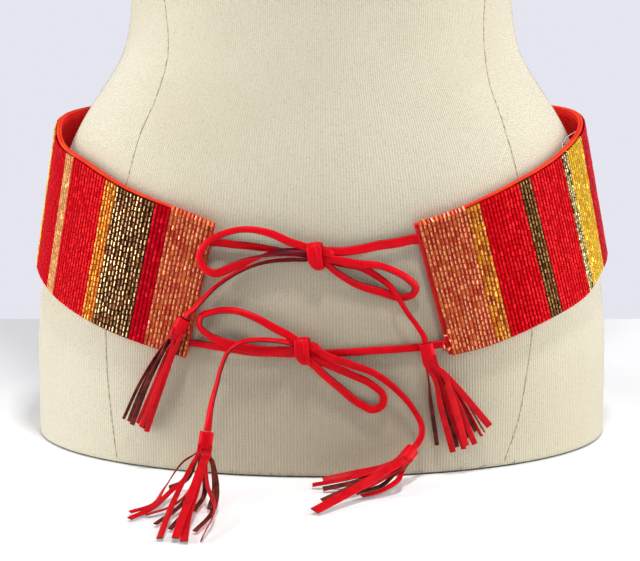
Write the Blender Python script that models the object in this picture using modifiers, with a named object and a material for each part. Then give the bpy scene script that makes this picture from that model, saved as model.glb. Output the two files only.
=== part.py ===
# Beaded belt on a limbless dress form.
#
# The belt is a straight strip of red cloth, lined, with bugle beads strung over it in stripes of
# several colours. It is worn low on the hips of a cloth-covered dress form. Its two ends lie on the
# front of the form and are held by two bows of red leather lace, each lace ending in a tassel.
#
# Metres, +Z up. The origin is the middle of the form's flat base, on the table. The form faces -Y,
# and +X is on the right of someone who looks at its front.

import bmesh
import bpy
import math
import numpy as np
from mathutils import Matrix, Vector

# Driving sizes
FORM_HEIGHT = 0.740
BASE_BOARD_THICKNESS = 0.0020
BASE_BOARD_INSET = 0.0012
SEAM_GAP = 0.0003
FORM_SEGMENTS = 44
TALL_STEP = 0.024
BUST_HEIGHT = 0.452
BUST_HALF_SPACING = 0.082
BUST_REACH = 0.060
BUST_RISE = 0.016

BELT_STEP = 0.0055
LINING_THICKNESS = 0.0010
FACE_THICKNESS = 0.0010
BEAD_THICKNESS = 0.0016
BEADS_BELOW_TOP_EDGE = 0.0008
BEADS_PAST_BOTTOM_EDGE = 0.0005
FABRIC_PAST_BEADS_LEFT = 0.0006
FABRIC_PAST_BEADS_RIGHT = 0.0030
STRIPE_GAP = 0.0003

LACE_DIAMETER = 0.0032
LACE_POINT_SPACING = 0.0072
TAIL_STRAIGHT_END = 0.0030
KNOT_SIZE = (0.0085, 0.0098, 0.0165)
KNOT_ROUNDING = 0.0026
TASSEL_HEAD_SIZE = (0.0084, 0.0060, 0.0110)
TASSEL_HEAD_ROUNDING = 0.0012
STRAND_WIDTH = 0.0036
STRAND_THICKNESS = 0.0011
STRAND_STEPS = 6
STRAND_ROOT_DEPTH = 0.0040
STRAND_ROOT_SHARE = 0.85
STRAND_LAYER_STEP = 0.0013

# Sections of the form, bottom to top: height, half width, depth in front of and behind the middle
FORM_SECTIONS = [
    (0.000, 0.1790, 0.1150, 0.1180),
    (0.030, 0.1793, 0.1150, 0.1210),
    (0.060, 0.1790, 0.1148, 0.1245),
    (0.085, 0.1774, 0.1132, 0.1262),
    (0.110, 0.1741, 0.1112, 0.1256),
    (0.130, 0.1701, 0.1096, 0.1236),
    (0.150, 0.1662, 0.1080, 0.1200),
    (0.175, 0.1595, 0.1050, 0.1140),
    (0.193, 0.1515, 0.1018, 0.1085),
    (0.207, 0.1434, 0.0990, 0.1040),
    (0.225, 0.1314, 0.0955, 0.0985),
    (0.240, 0.1230, 0.0925, 0.0940),
    (0.255, 0.1190, 0.0898, 0.0905),
    (0.273, 0.1170, 0.0878, 0.0872),
    (0.295, 0.1165, 0.0873, 0.0860),
    (0.325, 0.1190, 0.0895, 0.0880),
    (0.360, 0.1260, 0.0955, 0.0925),
    (0.400, 0.1350, 0.1035, 0.0975),
    (0.440, 0.1420, 0.1085, 0.1010),
    (0.480, 0.1470, 0.1070, 0.1035),
    (0.520, 0.1535, 0.0985, 0.1045),
    (0.560, 0.1630, 0.0860, 0.1020),
    (0.590, 0.1680, 0.0740, 0.0960),
    (0.608, 0.1660, 0.0655, 0.0900),
    (0.624, 0.1540, 0.0580, 0.0830),
    (0.638, 0.1290, 0.0520, 0.0760),
    (0.650, 0.0990, 0.0480, 0.0690),
    (0.662, 0.0760, 0.0465, 0.0625),
    (0.678, 0.0620, 0.0465, 0.0570),
    (0.700, 0.0565, 0.0470, 0.0530),
    (0.740, 0.0545, 0.0465, 0.0515),
]

# Plan of the belt, to the inside of its lining: x of its middle, half width, depth in front, behind
BELT_TOP_PLAN = (-0.0012, 0.1608, 0.1120, 0.1122)
BELT_BOTTOM_PLAN = (0.0002, 0.1753, 0.1182, 0.1268)

# Stations of the belt from its left front end round the back to its right front end:
# turn round the form from the front in degrees and height, first of the top edge, then of the bottom
BELT_STATIONS = [
    (21.9, 0.1505, 26.7, 0.0719),
    (30.3, 0.1582, 34.9, 0.0767),
    (44.5, 0.1681, 48.3, 0.0846),
    (60.7, 0.1807, 63.8, 0.0947),
    (76.0, 0.1867, 76.5, 0.1037),
    (96.0, 0.1979, 96.0, 0.1136),
    (122.0, 0.2003, 122.0, 0.1173),
    (150.0, 0.2040, 150.0, 0.1205),
    (180.0, 0.2050, 180.0, 0.1215),
    (210.0, 0.2040, 210.0, 0.1205),
    (238.0, 0.2009, 238.0, 0.1180),
    (264.0, 0.2004, 264.0, 0.1167),
    (284.0, 0.1926, 283.0, 0.1099),
    (299.9, 0.1823, 295.5, 0.0976),
    (314.7, 0.1714, 309.9, 0.0887),
    (329.1, 0.1592, 324.8, 0.0784),
    (340.6, 0.1507, 335.3, 0.0732),
]

# Stripes of beads from the left front end round the back to the right front end: colour, width
STRIPES = [
    ("peach", 0.0275),
    ("crimson", 0.0105),
    ("brown_gold", 0.0275),
    ("amber", 0.0093),
    ("bright_red", 0.0312),
    ("tan", 0.0088),
    ("dark_red", 0.0290),
    ("yellow_gold", 0.0210),
    ("bright_red", 0.0300),
    ("brown_gold", 0.0095),
    ("peach", 0.0290),
    ("amber", 0.0095),
    ("crimson", 0.0310),
    ("tan", 0.0095),
    ("brown_gold", 0.0290),
    ("yellow_gold", 0.0095),
    ("bright_red", 0.0310),
    ("olive", 0.0095),
    ("peach", 0.0290),
    ("crimson", 0.0100),
    ("amber", 0.0270),
    ("dark_red", 0.0310),
    ("brown_gold", 0.0100),
    ("tan", 0.0280),
    ("bright_red", 0.0310),
    ("yellow_gold", 0.0095),
    ("olive", 0.0270),
    ("peach", 0.0290),
    ("amber", 0.0095),
    ("crimson", 0.0290),
    ("yellow_gold", 0.0215),
    ("speckled", 0.0060),
    ("bright_red", 0.0290),
    ("olive", 0.0092),
    ("bright_red", 0.0292),
    ("gold", 0.0098),
    ("peach", 0.0290),
]

# Beads, cloth and leather: colour, roughness, metallic
FINISHES = {
    "peach": ((0.62, 0.27, 0.13), 0.28, 0.25),
    "crimson": ((0.52, 0.01, 0.04), 0.28, 0.25),
    "brown_gold": ((0.16, 0.09, 0.04), 0.25, 0.40),
    "amber": ((0.55, 0.25, 0.04), 0.25, 0.40),
    "bright_red": ((0.68, 0.02, 0.03), 0.28, 0.25),
    "tan": ((0.60, 0.35, 0.14), 0.28, 0.30),
    "dark_red": ((0.42, 0.01, 0.03), 0.28, 0.25),
    "yellow_gold": ((0.72, 0.45, 0.05), 0.25, 0.40),
    "olive": ((0.20, 0.14, 0.05), 0.28, 0.30),
    "speckled": ((0.30, 0.26, 0.18), 0.28, 0.20),
    "gold": ((0.66, 0.38, 0.06), 0.25, 0.40),
    "canvas": ((0.68, 0.63, 0.50), 0.92, 0.0),
    "board": ((0.10, 0.11, 0.09), 0.75, 0.0),
    "lining": ((0.50, 0.01, 0.02), 0.70, 0.0),
    "face_cloth": ((0.75, 0.05, 0.03), 0.65, 0.0),
    "leather": ((0.70, 0.01, 0.02), 0.45, 0.0),
}

# Routes of the laces: x, height, and how far the middle of the lace lies in front of the form.
# Each tail goes on from its last row into the top of its tassel's head.
LACE_ROUTES = {
    "lace_run_top_left": [
        (-0.0623, 0.1403, 0.0034),
        (-0.0525, 0.1395, 0.0032),
        (-0.0425, 0.1388, 0.0028),
        (-0.0302, 0.1373, 0.0024),
        (-0.0191, 0.1357, 0.0022),
        (-0.0092, 0.1348, 0.0024),
    ],
    "lace_run_top_right": [
        (0.0534, 0.1424, 0.0036),
        (0.0440, 0.1408, 0.0036),
        (0.0328, 0.1396, 0.0042),
        (0.0223, 0.1378, 0.0052),
        (0.0118, 0.1368, 0.0062),
        (0.0018, 0.1368, 0.0062),
    ],
    "lace_run_bottom_left": [
        (-0.0754, 0.0801, 0.0036),
        (-0.0670, 0.0792, 0.0034),
        (-0.0534, 0.0775, 0.0030),
        (-0.0398, 0.0758, 0.0026),
        (-0.0269, 0.0756, 0.0024),
        (-0.0157, 0.0755, 0.0024),
    ],
    "lace_run_bottom_right": [
        (0.0703, 0.0798, 0.0036),
        (0.0585, 0.0786, 0.0026),
        (0.0448, 0.0780, 0.0026),
        (0.0301, 0.0775, 0.0024),
        (0.0148, 0.0768, 0.0024),
        (-0.0054, 0.0763, 0.0024),
    ],
    "lace_loop_top_left": [
        (-0.0092, 0.1392, 0.0066),
        (-0.0185, 0.1424, 0.0070),
        (-0.0301, 0.1474, 0.0076),
        (-0.0447, 0.1495, 0.0086),
        (-0.0581, 0.1465, 0.0104),
        (-0.0684, 0.1399, 0.0116),
        (-0.0715, 0.1337, 0.0118),
        (-0.0697, 0.1276, 0.0116),
        (-0.0635, 0.1236, 0.0112),
        (-0.0524, 0.1272, 0.0096),
        (-0.0407, 0.1320, 0.0078),
        (-0.0243, 0.1363, 0.0070),
        (-0.0092, 0.1357, 0.0066),
    ],
    "lace_loop_top_right": [
        (0.0020, 0.1331, 0.0070),
        (0.0106, 0.1318, 0.0078),
        (0.0205, 0.1297, 0.0072),
        (0.0322, 0.1286, 0.0070),
        (0.0434, 0.1243, 0.0062),
        (0.0523, 0.1181, 0.0054),
        (0.0552, 0.1144, 0.0048),
        (0.0538, 0.1105, 0.0042),
        (0.0476, 0.1086, 0.0034),
        (0.0347, 0.1121, 0.0030),
        (0.0206, 0.1169, 0.0034),
        (0.0089, 0.1242, 0.0048),
        (0.0031, 0.1291, 0.0062),
    ],
    "lace_loop_bottom_left": [
        (-0.0174, 0.0864, 0.0066),
        (-0.0270, 0.0915, 0.0070),
        (-0.0396, 0.0980, 0.0070),
        (-0.0490, 0.1011, 0.0070),
        (-0.0632, 0.1005, 0.0082),
        (-0.0711, 0.0973, 0.0106),
        (-0.0716, 0.0921, 0.0108),
        (-0.0661, 0.0867, 0.0096),
        (-0.0532, 0.0816, 0.0076),
        (-0.0350, 0.0786, 0.0070),
        (-0.0165, 0.0787, 0.0066),
    ],
    "lace_loop_bottom_right": [
        (-0.0045, 0.0741, 0.0064),
        (0.0048, 0.0699, 0.0060),
        (0.0177, 0.0639, 0.0052),
        (0.0292, 0.0578, 0.0044),
        (0.0364, 0.0500, 0.0038),
        (0.0355, 0.0448, 0.0036),
        (0.0305, 0.0424, 0.0036),
        (0.0237, 0.0454, 0.0036),
        (0.0107, 0.0559, 0.0040),
        (0.0010, 0.0645, 0.0052),
        (-0.0042, 0.0700, 0.0064),
    ],
    "lace_tail_top_left": [
        (-0.0083, 0.1324, 0.0066),
        (-0.0188, 0.1318, 0.0056),
        (-0.0290, 0.1305, 0.0042),
        (-0.0408, 0.1272, 0.0034),
        (-0.0532, 0.1210, 0.0040),
        (-0.0643, 0.1131, 0.0078),
        (-0.0701, 0.1072, 0.0106),
        (-0.0752, 0.1018, 0.0116),
    ],
    "lace_tail_top_right": [
        (0.0026, 0.1313, 0.0026),
        (0.0118, 0.1290, 0.0022),
        (0.0229, 0.1266, 0.0022),
        (0.0329, 0.1208, 0.0026),
        (0.0405, 0.1151, 0.0050),
        (0.0453, 0.1083, 0.0078),
        (0.0499, 0.1006, 0.0074),
        (0.0561, 0.0921, 0.0082),
    ],
    "lace_tail_bottom_left": [
        (-0.0179, 0.0830, 0.0066),
        (-0.0261, 0.0853, 0.0110),
        (-0.0378, 0.0857, 0.0116),
        (-0.0472, 0.0839, 0.0116),
        (-0.0544, 0.0784, 0.0112),
        (-0.0585, 0.0700, 0.0140),
        (-0.0614, 0.0598, 0.0190),
        (-0.0644, 0.0489, 0.0240),
    ],
    "lace_tail_bottom_right": [
        (-0.0057, 0.0792, 0.0068),
        (0.0048, 0.0756, 0.0096),
        (0.0177, 0.0708, 0.0092),
        (0.0300, 0.0654, 0.0070),
        (0.0437, 0.0545, 0.0050),
        (0.0539, 0.0421, 0.0048),
        (0.0591, 0.0313, 0.0064),
        (0.0584, 0.0253, 0.0090),
    ],
}

# Knots of the bows: x, height, distance in front of the form, lean in degrees
KNOTS = {
    "knot_top": (-0.0036, 0.1339, 0.0056, 12.0),
    "knot_bottom": (-0.0112, 0.0782, 0.0056, 14.0),
}

# Tassels: the top and the bottom of the head, then the middle and the tip of each strand,
# each as x, height and distance in front of the form
TASSELS = {
    "tassel_top_left": {
        "head": [(-0.0803, 0.0961, 0.0118), (-0.0852, 0.0868, 0.0116)],
        "strands": [
            [(-0.1058, 0.0584, 0.0088), (-0.1200, 0.0300, 0.0035)],
            [(-0.1036, 0.0594, 0.0128), (-0.1170, 0.0285, 0.0080)],
            [(-0.1015, 0.0584, 0.0094), (-0.1135, 0.0268, 0.0050)],
            [(-0.0993, 0.0591, 0.0140), (-0.1105, 0.0262, 0.0100)],
            [(-0.0974, 0.0582, 0.0094), (-0.1080, 0.0250, 0.0040)],
            [(-0.0953, 0.0594, 0.0138), (-0.1060, 0.0242, 0.0080)],
            [(-0.0934, 0.0585, 0.0094), (-0.1035, 0.0245, 0.0040)],
        ],
    },
    "tassel_top_right": {
        "head": [(0.0610, 0.0822, 0.0094), (0.0634, 0.0718, 0.0092)],
        "strands": [
            [(0.0643, 0.0445, 0.0040), (0.0688, 0.0185, 0.0030)],
            [(0.0668, 0.0425, 0.0085), (0.0772, 0.0136, 0.0070)],
            [(0.0692, 0.0435, 0.0045), (0.0805, 0.0142, 0.0035)],
            [(0.0716, 0.0435, 0.0095), (0.0848, 0.0152, 0.0080)],
            [(0.0742, 0.0445, 0.0050), (0.0886, 0.0168, 0.0035)],
            [(0.0766, 0.0455, 0.0095), (0.0926, 0.0182, 0.0080)],
            [(0.0790, 0.0475, 0.0052), (0.0966, 0.0222, 0.0035)],
            [(0.0812, 0.0505, 0.0095), (0.1004, 0.0276, 0.0075)],
        ],
    },
    "tassel_bottom_left": {
        "head": [(-0.0667, 0.0340, 0.0288), (-0.0683, 0.0235, 0.0310)],
        "strands": [
            [(-0.0868, 0.0100, 0.0520), (-0.1060, 0.0022, 0.0800)],
            [(-0.0882, 0.0106, 0.0620), (-0.1085, 0.0022, 0.1040)],
            [(-0.0802, 0.0078, 0.0560), (-0.0910, 0.0022, 0.1100)],
            [(-0.0822, 0.0090, 0.0700), (-0.0890, 0.0022, 0.1400)],
            [(-0.0728, 0.0078, 0.0590), (-0.0740, 0.0022, 0.1060)],
            [(-0.0748, 0.0092, 0.0750), (-0.0790, 0.0022, 0.1420)],
            [(-0.0625, 0.0098, 0.0560), (-0.0590, 0.0022, 0.0980)],
            [(-0.0662, 0.0098, 0.0720), (-0.0665, 0.0022, 0.1310)],
        ],
    },
    "tassel_bottom_right": {
        "head": [(0.0538, 0.0197, 0.0120), (0.0477, 0.0144, 0.0180)],
        "strands": [
            [(0.0177, 0.0034, 0.0230), (0.0010, 0.0022, 0.0240)],
            [(0.0177, 0.0064, 0.0190), (-0.0060, 0.0026, 0.0180)],
            [(0.0187, 0.0032, 0.0330), (0.0025, 0.0022, 0.0400)],
            [(0.0187, 0.0060, 0.0390), (-0.0020, 0.0026, 0.0520)],
            [(0.0255, 0.0032, 0.0430), (0.0130, 0.0022, 0.0600)],
            [(0.0225, 0.0058, 0.0480), (-0.0030, 0.0026, 0.0730)],
        ],
    },
}

PART_NAME = "beaded_belt_on_dress_form"


def clear_scene():
    for item in list(bpy.data.objects):
        bpy.data.objects.remove(item, do_unlink=True)


def part_collection():
    collection = bpy.data.collections.new(PART_NAME)
    bpy.context.scene.collection.children.link(collection)
    return collection


def finish_material(finish):
    """The Principled material of one finish, made once."""
    name = "finish_" + finish
    known = bpy.data.materials.get(name)
    if known:
        return known
    colour, roughness, metallic = FINISHES[finish]
    material = bpy.data.materials.new(name)
    material.use_nodes = True
    shader = material.node_tree.nodes["Principled BSDF"]
    shader.inputs["Base Color"].default_value = (*colour, 1.0)
    shader.inputs["Roughness"].default_value = roughness
    shader.inputs["Metallic"].default_value = metallic
    material.diffuse_color = (*colour, 1.0)
    return material


def add_object(collection, name, data, finish):
    item = bpy.data.objects.new(name, data)
    data.materials.append(finish_material(finish))
    collection.objects.link(item)
    return item


def smooth_through(places, values, at):
    """Values of a smooth curve through a table's rows (a cubic with slopes from its neighbours)."""
    places = np.asarray(places, dtype=float)
    values = np.asarray(values, dtype=float)
    slopes = np.gradient(values, places, axis=0)
    at = np.clip(np.atleast_1d(at), places[0], places[-1])
    low = np.clip(np.searchsorted(places, at, side="right") - 1, 0, len(places) - 2)
    step = places[low + 1] - places[low]
    t = (at - places[low]) / step
    if values.ndim > 1:
        t = t[:, None]
        step = step[:, None]
    start = (1 + 2 * t) * (1 - t) ** 2 * values[low] + t * (1 - t) ** 2 * step * slopes[low]
    end = t ** 2 * (3 - 2 * t) * values[low + 1] + t ** 2 * (t - 1) * step * slopes[low + 1]
    return start + end


def form_section(height):
    """Half width, front depth and back depth of the form at one height."""
    table = np.array(FORM_SECTIONS)
    return smooth_through(table[:, 0], table[:, 1:], height)[0]


def bust_rise(x, height):
    """How much further forward the form reaches at the bust."""
    up = (height - BUST_HEIGHT) / BUST_REACH
    across = (abs(x) - BUST_HALF_SPACING) / BUST_REACH
    return BUST_RISE * math.exp(-up * up - across * across)


def form_front(x, height):
    """Y of the form's front surface below the waist."""
    half_width, front, _ = form_section(height)
    return -front * math.sqrt(max(0.0, 1.0 - (x / half_width) ** 2))


def on_front(spot):
    """A point given by x, height and distance in front of the form."""
    x, height, distance = spot
    return Vector((x, form_front(x, height) - distance, height))


def form_ring(height, inset):
    points = []
    half_width, front, back = form_section(height)
    for step in range(FORM_SEGMENTS):
        turn = 2 * math.pi * step / FORM_SEGMENTS
        x = (half_width - inset) * math.sin(turn)
        depth = back if math.cos(turn) < 0 else front
        y = -(depth - inset) * math.cos(turn)
        if y < 0:
            y -= bust_rise(x, height) * math.cos(turn) ** 2
        points.append((x, y, height))
    return points


def loft(rings):
    """A closed mesh through rings with the same number of points, with a flat cap at each end."""
    shell = bmesh.new()
    rows = [[shell.verts.new(point) for point in ring] for ring in rings]
    count = len(rows[0])
    for lower, upper in zip(rows, rows[1:]):
        for step in range(count):
            after = (step + 1) % count
            shell.faces.new((lower[step], lower[after], upper[after], upper[step]))
    shell.faces.new(list(reversed(rows[0])))
    shell.faces.new(rows[-1])
    bmesh.ops.recalc_face_normals(shell, faces=shell.faces)
    return shell


def mesh_from(shell, name):
    mesh = bpy.data.meshes.new(name)
    shell.to_mesh(mesh)
    shell.free()
    return mesh


def form_heights():
    """Heights of the form's rings: its table's sections, with one more in each tall step."""
    heights = [BASE_BOARD_THICKNESS + SEAM_GAP]
    for section in FORM_SECTIONS[1:]:
        if section[0] - heights[-1] > TALL_STEP:
            heights.append((section[0] + heights[-1]) / 2)
        heights.append(section[0])
    return heights


def make_form(collection):
    """The form's padded body with its cloth cover, and the board under it."""
    body = mesh_from(loft([form_ring(height, 0.0) for height in form_heights()]), "dress_form")
    body.shade_smooth()
    body.set_sharp_from_angle(angle=math.radians(50))
    add_object(collection, "dress_form", body, "canvas")
    outline = [form_ring(height, BASE_BOARD_INSET) for height in (0.0, BASE_BOARD_THICKNESS)]
    add_object(collection, "form_base", mesh_from(loft(outline), "form_base"), "board")


def plan_point(plan, turn_degrees, height):
    """A point of a belt edge, on the half ellipse in front of or behind the form's middle."""
    centre_x, half_width, front, back = plan
    turn = math.radians(turn_degrees)
    depth = back if math.cos(turn) < 0 else front
    return np.array((centre_x - half_width * math.sin(turn), -depth * math.cos(turn), height))


class BeltSurface:
    """The inner face of the belt, ruled from its top edge to its bottom edge."""

    SAMPLES = 1600

    def __init__(self):
        table = np.array(BELT_STATIONS)
        places = np.arange(len(table), dtype=float)
        fine = smooth_through(places, table, np.linspace(0, len(table) - 1, self.SAMPLES))
        self.top = np.array([plan_point(BELT_TOP_PLAN, row[0], row[1]) for row in fine])
        self.bottom = np.array([plan_point(BELT_BOTTOM_PLAN, row[2], row[3]) for row in fine])
        middle = (self.top + self.bottom) / 2
        steps = np.linalg.norm(np.diff(middle, axis=0), axis=1)
        self.distance = np.concatenate(([0.0], np.cumsum(steps)))
        self.length = self.distance[-1]
        along = np.gradient(middle, self.distance, axis=0)
        outward = np.cross(self.top - self.bottom, along)
        self.outward = outward / np.linalg.norm(outward, axis=1)[:, None]

    def read(self, column, distance):
        return np.array([np.interp(distance, self.distance, column[:, axis]) for axis in range(3)])

    def point(self, distance, below_top, past_bottom, out):
        """The top and bottom points of one crosswise line, moved out from the inner face."""
        top = self.read(self.top, distance)
        bottom = self.read(self.bottom, distance)
        outward = self.read(self.outward, distance)
        down = (bottom - top) / np.linalg.norm(bottom - top)
        shift = outward * out
        return top + down * below_top + shift, bottom + down * past_bottom + shift


def make_panel(collection, belt, name, finish, start, end, out, thickness, below_top=0.0, past_bottom=0.0):
    """One panel of the belt: a sheet between two distances along it, with a Solidify wall."""
    columns = max(2, int(math.ceil((end - start) / BELT_STEP)) + 1)
    sheet = bmesh.new()
    rows = []
    for column in range(columns):
        distance = start + (end - start) * column / (columns - 1)
        top, bottom = belt.point(distance, below_top, past_bottom, out)
        rows.append((sheet.verts.new(top), sheet.verts.new(bottom)))
    for near, far in zip(rows, rows[1:]):
        sheet.faces.new((near[1], near[0], far[0], far[1]))
    panel = add_object(collection, name, mesh_from(sheet, name), finish)
    wall = panel.modifiers.new("wall", "SOLIDIFY")
    wall.thickness = thickness
    wall.offset = 1.0
    wall.use_even_offset = True
    return panel


def make_belt(collection):
    belt = BeltSurface()
    face_out = LINING_THICKNESS + SEAM_GAP
    bead_out = face_out + FACE_THICKNESS + SEAM_GAP
    make_panel(collection, belt, "belt_lining", "lining", 0.0, belt.length, 0.0, LINING_THICKNESS)
    make_panel(collection, belt, "belt_face", "face_cloth", 0.0, belt.length, face_out, FACE_THICKNESS)
    beaded = belt.length - FABRIC_PAST_BEADS_LEFT - FABRIC_PAST_BEADS_RIGHT
    stretch = beaded / sum(width for _, width in STRIPES)
    start = FABRIC_PAST_BEADS_LEFT
    for number, (colour, width) in enumerate(STRIPES, start=1):
        end = start + width * stretch
        make_panel(
            collection, belt, "beads_%02d_%s" % (number, colour), colour,
            start + STRIPE_GAP / 2, end - STRIPE_GAP / 2, bead_out, BEAD_THICKNESS,
            below_top=BEADS_BELOW_TOP_EDGE, past_bottom=BEADS_PAST_BOTTOM_EDGE,
        )
        start = end


def head_axis(plan):
    """The middle of the top of a tassel's head, and the direction down its head."""
    top, bottom = [on_front(spot) for spot in plan["head"]]
    return top, (bottom - top).normalized()


def route_points(route, tassel):
    """Even points along one smooth curve through a route, and on to its tassel if it has one."""
    corners = [on_front(spot) for spot in route]
    if tassel:
        top, down = head_axis(tassel)
        corners.append(top - down * TAIL_STRAIGHT_END)
    corners = np.array(corners)
    places = np.concatenate(([0.0], np.cumsum(np.linalg.norm(np.diff(corners, axis=0), axis=1))))
    count = max(4, int(round(places[-1] / LACE_POINT_SPACING)) + 1)
    points = smooth_through(places, corners, np.linspace(0.0, places[-1], count))
    return np.vstack((points, top - down * SEAM_GAP)) if tassel else points


def make_lace(collection, name, route, tassel):
    """One stretch of lace, as a plain tube along its route."""
    curve = bpy.data.curves.new(name, "CURVE")
    curve.dimensions = "3D"
    curve.bevel_depth = LACE_DIAMETER / 2
    curve.bevel_resolution = 2
    curve.use_fill_caps = True
    points = route_points(route, tassel)
    spline = curve.splines.new("POLY")
    spline.points.add(len(points) - 1)
    for spot, point in zip(spline.points, points):
        spot.co = (*point, 1.0)
    add_object(collection, name, curve, "leather")


def rounded_block(collection, name, size, rounding, finish):
    block = bmesh.new()
    bmesh.ops.create_cube(block, size=1.0)
    bmesh.ops.scale(block, vec=size, verts=block.verts)
    item = add_object(collection, name, mesh_from(block, name), finish)
    bevel = item.modifiers.new("rounding", "BEVEL")
    bevel.width = rounding
    bevel.segments = 2
    bevel.limit_method = "NONE"
    return item


def make_knot(collection, name, spot):
    x, height, distance, lean = spot
    knot = rounded_block(collection, name, KNOT_SIZE, KNOT_ROUNDING, "leather")
    knot.location = on_front((x, height, distance))
    knot.rotation_euler = (0.0, -math.radians(lean), 0.0)


def strand_mesh(name, root, middle, tip, root_width):
    """One flat strand of a tassel, on a curve through its root, middle and tip."""
    places = [0.0, (middle - root).length, (middle - root).length + (tip - middle).length]
    at = np.linspace(0.0, places[-1], STRAND_STEPS + 1)
    path = [Vector(point) for point in smooth_through(places, np.array([root, middle, tip]), at)]
    facing = Vector((0.0, -1.0, 1.0))
    rings = []
    for number, point in enumerate(path):
        ahead = path[min(number + 1, len(path) - 1)] - path[max(number - 1, 0)]
        widened = min(1.0, 2.0 * number / STRAND_STEPS)
        width = root_width + (STRAND_WIDTH - root_width) * widened
        across = ahead.cross(facing).normalized() * width / 2
        through = across.cross(ahead).normalized() * STRAND_THICKNESS / 2
        corners = (across + through, across - through, -across - through, -across + through)
        rings.append([point + corner for corner in corners])
    return mesh_from(loft(rings), name)


def middle_of(points):
    return sum(points, Vector()) / len(points)


def make_tassel(collection, cutters, name, plan):
    """A tassel head with its strands in two layers, joined to it at their roots."""
    top, down = head_axis(plan)
    strands = [[on_front(spot) for spot in strand] for strand in plan["strands"]]
    side = strands[-1][0] - strands[0][0]
    side = (side - down * side.dot(down)).normalized()
    through = down.cross(side)
    outer, inner = strands[1::2], strands[0::2]
    lift = middle_of([strand[0] for strand in outer]) - middle_of([strand[0] for strand in inner])
    layer_step = math.copysign(STRAND_LAYER_STEP, lift.dot(through))
    head = rounded_block(collection, name, TASSEL_HEAD_SIZE, TASSEL_HEAD_ROUNDING, "leather")
    frame = Matrix((side, through, -down)).transposed().to_4x4()
    head.matrix_world = Matrix.Translation(top + down * TASSEL_HEAD_SIZE[2] / 2) @ frame
    foot = top + down * (TASSEL_HEAD_SIZE[2] - STRAND_ROOT_DEPTH)
    root_spread = TASSEL_HEAD_SIZE[0] - 2 * TASSEL_HEAD_ROUNDING
    for layer, group in ((-layer_step, inner), (layer_step, outer)):
        root_pitch = root_spread / len(group)
        for number, (middle, tip) in enumerate(group):
            across = (number + 0.5) * root_pitch - root_spread / 2
            root = foot + side * across + through * layer
            strand_name = "%s_%s_strand_%d" % (name, "outer" if group is outer else "inner", number + 1)
            data = strand_mesh(strand_name, root, middle, tip, root_pitch * STRAND_ROOT_SHARE)
            strand = bpy.data.objects.new(strand_name, data)
            cutters.objects.link(strand)
            strand.hide_render = True
            strand.display_type = "WIRE"
            joint = head.modifiers.new(strand_name, "BOOLEAN")
            joint.operation = "UNION"
            joint.solver = "EXACT"
            joint.object = strand


def main():
    clear_scene()
    collection = part_collection()
    cutters = bpy.data.collections.new("cutters")
    bpy.context.scene.collection.children.link(cutters)
    make_form(collection)
    make_belt(collection)
    for name, route in LACE_ROUTES.items():
        make_lace(collection, name, route, TASSELS.get(name.replace("lace_tail", "tassel")))
    for name, spot in KNOTS.items():
        make_knot(collection, name, spot)
    for name, plan in TASSELS.items():
        make_tassel(collection, cutters, name, plan)


main()
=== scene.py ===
# Looks of a beaded belt worn low on a limbless, cloth-covered dress form.
#
# Strings of cut bugle beads in stripes lie over a lined strip of red cloth. Its two ends are held on
# the front of the form by two bows of red leather lace, each lace ending in a tassel.
#
# Metres, +Z up, and millimetres where a table says so. The form faces -Y, and +X is on the right of
# someone who looks at its front.

import bmesh
import bpy
import math
import numpy as np
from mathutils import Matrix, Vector
from mathutils.bvhtree import BVHTree


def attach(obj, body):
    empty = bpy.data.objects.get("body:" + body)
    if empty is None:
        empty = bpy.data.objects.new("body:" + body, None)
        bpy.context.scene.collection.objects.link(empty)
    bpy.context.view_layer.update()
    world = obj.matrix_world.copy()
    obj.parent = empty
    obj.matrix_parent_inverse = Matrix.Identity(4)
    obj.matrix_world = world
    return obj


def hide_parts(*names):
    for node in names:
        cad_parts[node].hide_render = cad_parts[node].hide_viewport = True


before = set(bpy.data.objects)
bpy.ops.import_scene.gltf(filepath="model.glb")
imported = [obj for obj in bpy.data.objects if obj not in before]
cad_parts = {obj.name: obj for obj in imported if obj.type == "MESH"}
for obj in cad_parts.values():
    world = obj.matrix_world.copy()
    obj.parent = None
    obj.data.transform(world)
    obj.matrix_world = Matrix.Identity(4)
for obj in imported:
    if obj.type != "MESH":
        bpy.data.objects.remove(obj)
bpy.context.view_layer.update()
bpy.ops.object.select_all(action="DESELECT")
chance = np.random.default_rng(20)

# Camera, as the photograph was taken
CAMERA_PLACE = (-0.001024, -1.5, 0.40)
CAMERA_TILT = 78.5545
CAMERA_LENS = 136.2

# Table and soft lights: place, size and power of each
TABLE_PLACE = (0.0, -0.585, -0.02)
TABLE_SIZE = (4.0, 1.83, 0.04)
LIGHTS_AIM = (0.0, 0.0, 0.15)
SOFT_LIGHTS = {
    "left_softbox": ((-1.8, -0.30, 0.60), (0.9, 1.3), 28.0),
    "right_softbox": ((1.8, -0.25, 0.60), (0.9, 1.3), 27.0),
    "top_softbox": ((0.10, -0.62, 1.80), (0.22, 0.18), 17.5),
    "front_fill": ((0.3, -2.6, 1.2), (0.8, 0.6), 2.0),
}

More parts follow.
